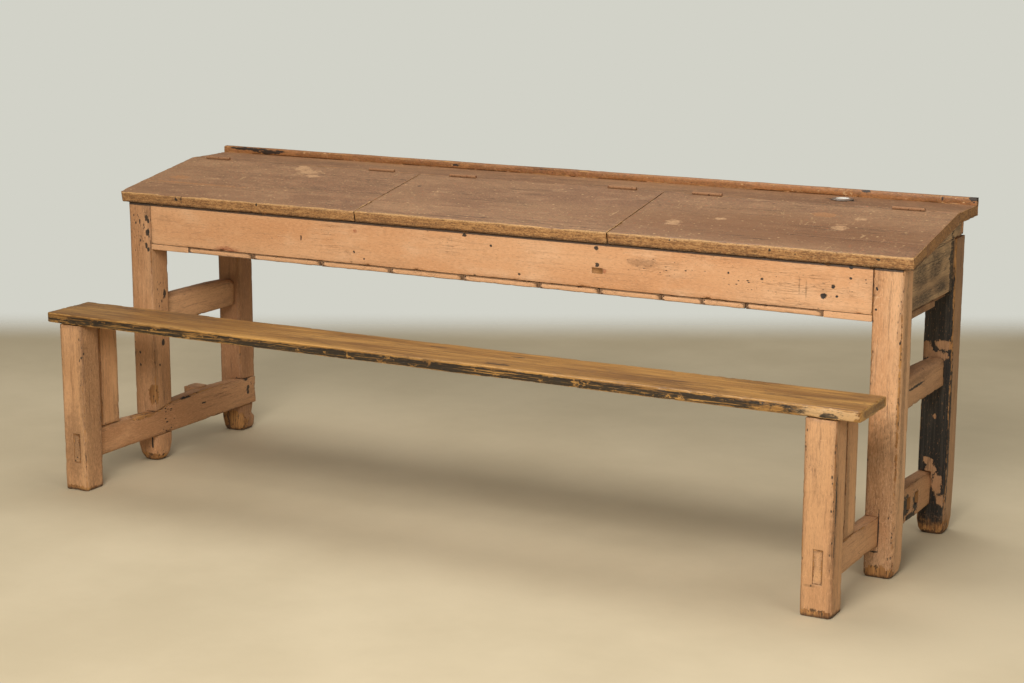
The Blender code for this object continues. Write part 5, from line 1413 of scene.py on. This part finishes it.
def add_bench(finishes):
    """The seat, the bench legs with their mortises, and the posts."""
    seat = board(
        "bench_seat_worn", SEAT_LOW, SEAT_HIGH, "X", finishes["seat"], "frame", ["bench_seat"],
        corner=0.004, worn=0.0013, reach=0.011, pitch=0.004, seed=110,
        sides=rounded_front(SEAT_LOW, SEAT_HIGH, *SEAT_CORNERS),
    )
    for i, word in enumerate(("left", "right")):
        node = f"bench_leg_{word}"
        low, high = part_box(node)
        leg = board(
            f"{node}_worn", low, high, "Z", finishes["bench"], "frame", [node], corner=0.002,
            reach=0.008, pitch=0.004, corners=bench_leg_corners, seed=112 + i,
        )
        tongue_low, tongue_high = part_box(f"lower_stretcher_{word}")
        x = tenon_sides(word, tongue_low, tongue_high)
        level = float(stretcher_profile(tongue_low.z, tongue_high.z)(low.y))
        cut(leg, box_mesh("mortise", [
            ((x[0] - FIT, low.y - OVERRUN, tongue_low.z - FIT),
             (x[1] + FIT, high.y + OVERRUN, level + FIT))
        ]))
        node = f"bench_post_{word}"
        low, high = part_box(node)
        low.z = level + FIT
        post = board(f"{node}_worn", low, high, "Z", finishes["bench"], "frame", [node],
                     corner=0.0025, worn=0.0011, reach=0.008, seed=114 + i)


# Nails in the ends of the floor boards, one over the other, and in the seat
FLOOR_NAIL_INSET, FLOOR_NAIL_GAP, FLOOR_NAIL_SUNK = 0.006, 0.008, 0.0006
FLOOR_NAIL_RADIUS, FLOOR_NAIL_RISE = 0.0016, 0.0004
SEAT_NAIL_RADIUS, SEAT_NAIL_RISE, SEAT_NAIL_SUNK = 0.0032, 0.0005, 0.0007
# Places of the seat nails: outwards from a line, and back from the seat's front edge
SEAT_NAIL_LINE = INNER_FACE + 0.015
SEAT_NAILS = ((-0.014, 0.024), (0.014, 0.027), (0.004, 0.118))


def add_fittings(finishes):
    """Hinges, inkwell, the foot rail's stub and the nails."""
    for name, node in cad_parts.items():
        if name.startswith("hinge_"):
            node.data.materials[0] = finishes["iron"]
    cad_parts["inkwell"].data.materials[0] = finishes["ceramic"]
    low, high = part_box("foot_rail_stub")
    stub = board(
        "foot_rail_stub_worn", low, high, "X", finishes["stretcher"], "frame",
        ["foot_rail_stub"], corner=0.004, worn=0.004, reach=0.014, pitch=0.003, seed=120,
    )
    nails = []
    for number in range(2, 12):
        low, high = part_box(f"floor_board_{number:02d}")
        for side in (-0.5, 0.5):
            nails.append((low.x + FLOOR_NAIL_INSET, low.y + FLOOR_NAIL_SUNK,
                          (low.z + high.z) / 2 + side * FLOOR_NAIL_GAP))
    heads("floor_nails", nails, (0, -1, 0), FLOOR_NAIL_RADIUS, FLOOR_NAIL_RISE, finishes["nail"],
          "frame")
    seat_nails = [
        (side * (SEAT_NAIL_LINE + out), SEAT_LOW.y + back, SEAT_HIGH.z - SEAT_NAIL_SUNK)
        for side in (-1, 1) for out, back in SEAT_NAILS
    ]
    heads("seat_nails", seat_nails, (0, 0, 1), SEAT_NAIL_RADIUS, SEAT_NAIL_RISE, finishes["nail"],
          "frame")


# The photograph's own viewpoint, found by fitting a camera to the desk's edges
CAMERA_PLACE = (2.38155, -4.2744, 1.44812)
CAMERA_YAW, CAMERA_PITCH, CAMERA_ROLL = radians(28.594), radians(-11.9135), radians(0.149)
SENSOR_WIDTH, LENS, VIEW_REACH = 36.0, 72.49, 60.0

# The floor's reach and the distances over which it fades out, all round and behind the desk
FLOOR_REACH, FLOOR_REAR = 14, 2.6
FADE_ROUND, FADE_BEHIND = (9.0, 5.5), (2.5, 1.95)
# Each light's place, width, power and tint, and the point that they all face
LIGHTS = {
    "key_light": ((1.1, -3.9, 3.0), 2.2, 186.0, (1.0, 0.97, 0.93)),
    "side_light": ((3.5, -1.5, 2.2), 1.8, 24.0, (1.0, 0.98, 0.95)),
    "top_light": ((-0.5, 0.6, 4.2), 3.0, 82.0, (1.0, 0.98, 0.95)),
}
LIT_POINT = (0.0, 0.0, 0.45)
SKY_STRENGTH, BACKDROP_STRENGTH = 0.23, 1.0


def add_camera():
    """Sets the camera at the photograph's viewpoint."""
    camera = bpy.data.objects.new("camera", bpy.data.cameras.new("camera"))
    bpy.context.scene.collection.objects.link(camera)
    camera.data.sensor_width = SENSOR_WIDTH
    camera.data.lens = LENS
    camera.data.clip_end = VIEW_REACH
    turn = Matrix.Rotation(CAMERA_YAW, 4, "Z") @ Matrix.Rotation(pi / 2 + CAMERA_PITCH, 4, "X")
    turn = turn @ Matrix.Rotation(CAMERA_ROLL, 4, "Z")
    camera.matrix_world = Matrix.Translation(CAMERA_PLACE) @ turn
    bpy.context.scene.camera = camera


def add_studio():
    """A plain pale floor that ends some way behind the desk, a pale backdrop and soft light."""
    out = np.array([-sin(CAMERA_YAW), cos(CAMERA_YAW)])
    side = np.array([cos(CAMERA_YAW), sin(CAMERA_YAW)])
    wide = side * FLOOR_REACH
    near, rear = -out * FLOOR_REACH, out * FLOOR_REAR
    points = [(x, y, 0.0) for x, y in (near - wide, near + wide, rear + wide, rear - wide)]
    floor = make_mesh("floor", points, [[0, 1, 2, 3]])
    f = Finish("pale_floor", on_board=False)
    cloud = f.noise((1.1, 1.1, 1.1), 5.0, 0.6)
    fine = f.noise((40.0, 40.0, 40.0), 4.0, 0.6)
    f.colour = f.mix(cloud.ease(0.3, 0.7), tone(196, 180, 148), tone(210, 194, 162))
    behind = f.vector("DOT_PRODUCT", f.place, (*out, 0.0), out=1)
    cover = f.vector("LENGTH", f.place, out=1).ease(*FADE_ROUND) * behind.ease(*FADE_BEHIND)
    floor.data.materials.append(f.done(0.7 + fine * 0.2, fine, 0.0004, alpha=cover))

    world = bpy.data.worlds.new("studio")
    world.use_nodes = True
    bpy.context.scene.world = world
    nodes, links = world.node_tree.nodes, world.node_tree.links
    sky = nodes["Background"]
    sky.inputs["Color"].default_value = tone(214, 214, 206)
    sky.inputs["Strength"].default_value = SKY_STRENGTH
    seen = nodes.new("ShaderNodeBackground")
    seen.inputs["Color"].default_value = tone(210, 210, 200)
    seen.inputs["Strength"].default_value = BACKDROP_STRENGTH
    path = nodes.new("ShaderNodeLightPath")
    mix = nodes.new("ShaderNodeMixShader")
    links.new(path.outputs["Is Camera Ray"], mix.inputs[0])
    links.new(sky.outputs[0], mix.inputs[1])
    links.new(seen.outputs[0], mix.inputs[2])
    links.new(mix.outputs[0], nodes["World Output"].inputs["Surface"])

    bpy.context.scene.view_settings.view_transform = "Standard"
    for name, (place, size, power, tint) in LIGHTS.items():
        lamp = bpy.data.lights.new(name, "AREA")
        lamp.shape = "DISK"
        lamp.size = size
        lamp.energy = power
        lamp.color = tint
        light = bpy.data.objects.new(name, lamp)
        bpy.context.scene.collection.objects.link(light)
        direction = Vector(LIT_POINT) - Vector(place)
        light.matrix_world = (
            Matrix.Translation(place) @ direction.to_track_quat("-Z", "Y").to_matrix().to_4x4()
        )


def main():
    finishes = make_finishes()
    add_desk_legs(finishes)
    add_stretchers(finishes)
    add_mid_rails(finishes)
    add_case(finishes)
    add_top(finishes)
    add_bench(finishes)
    add_fittings(finishes)
    add_camera()
    add_studio()


main()
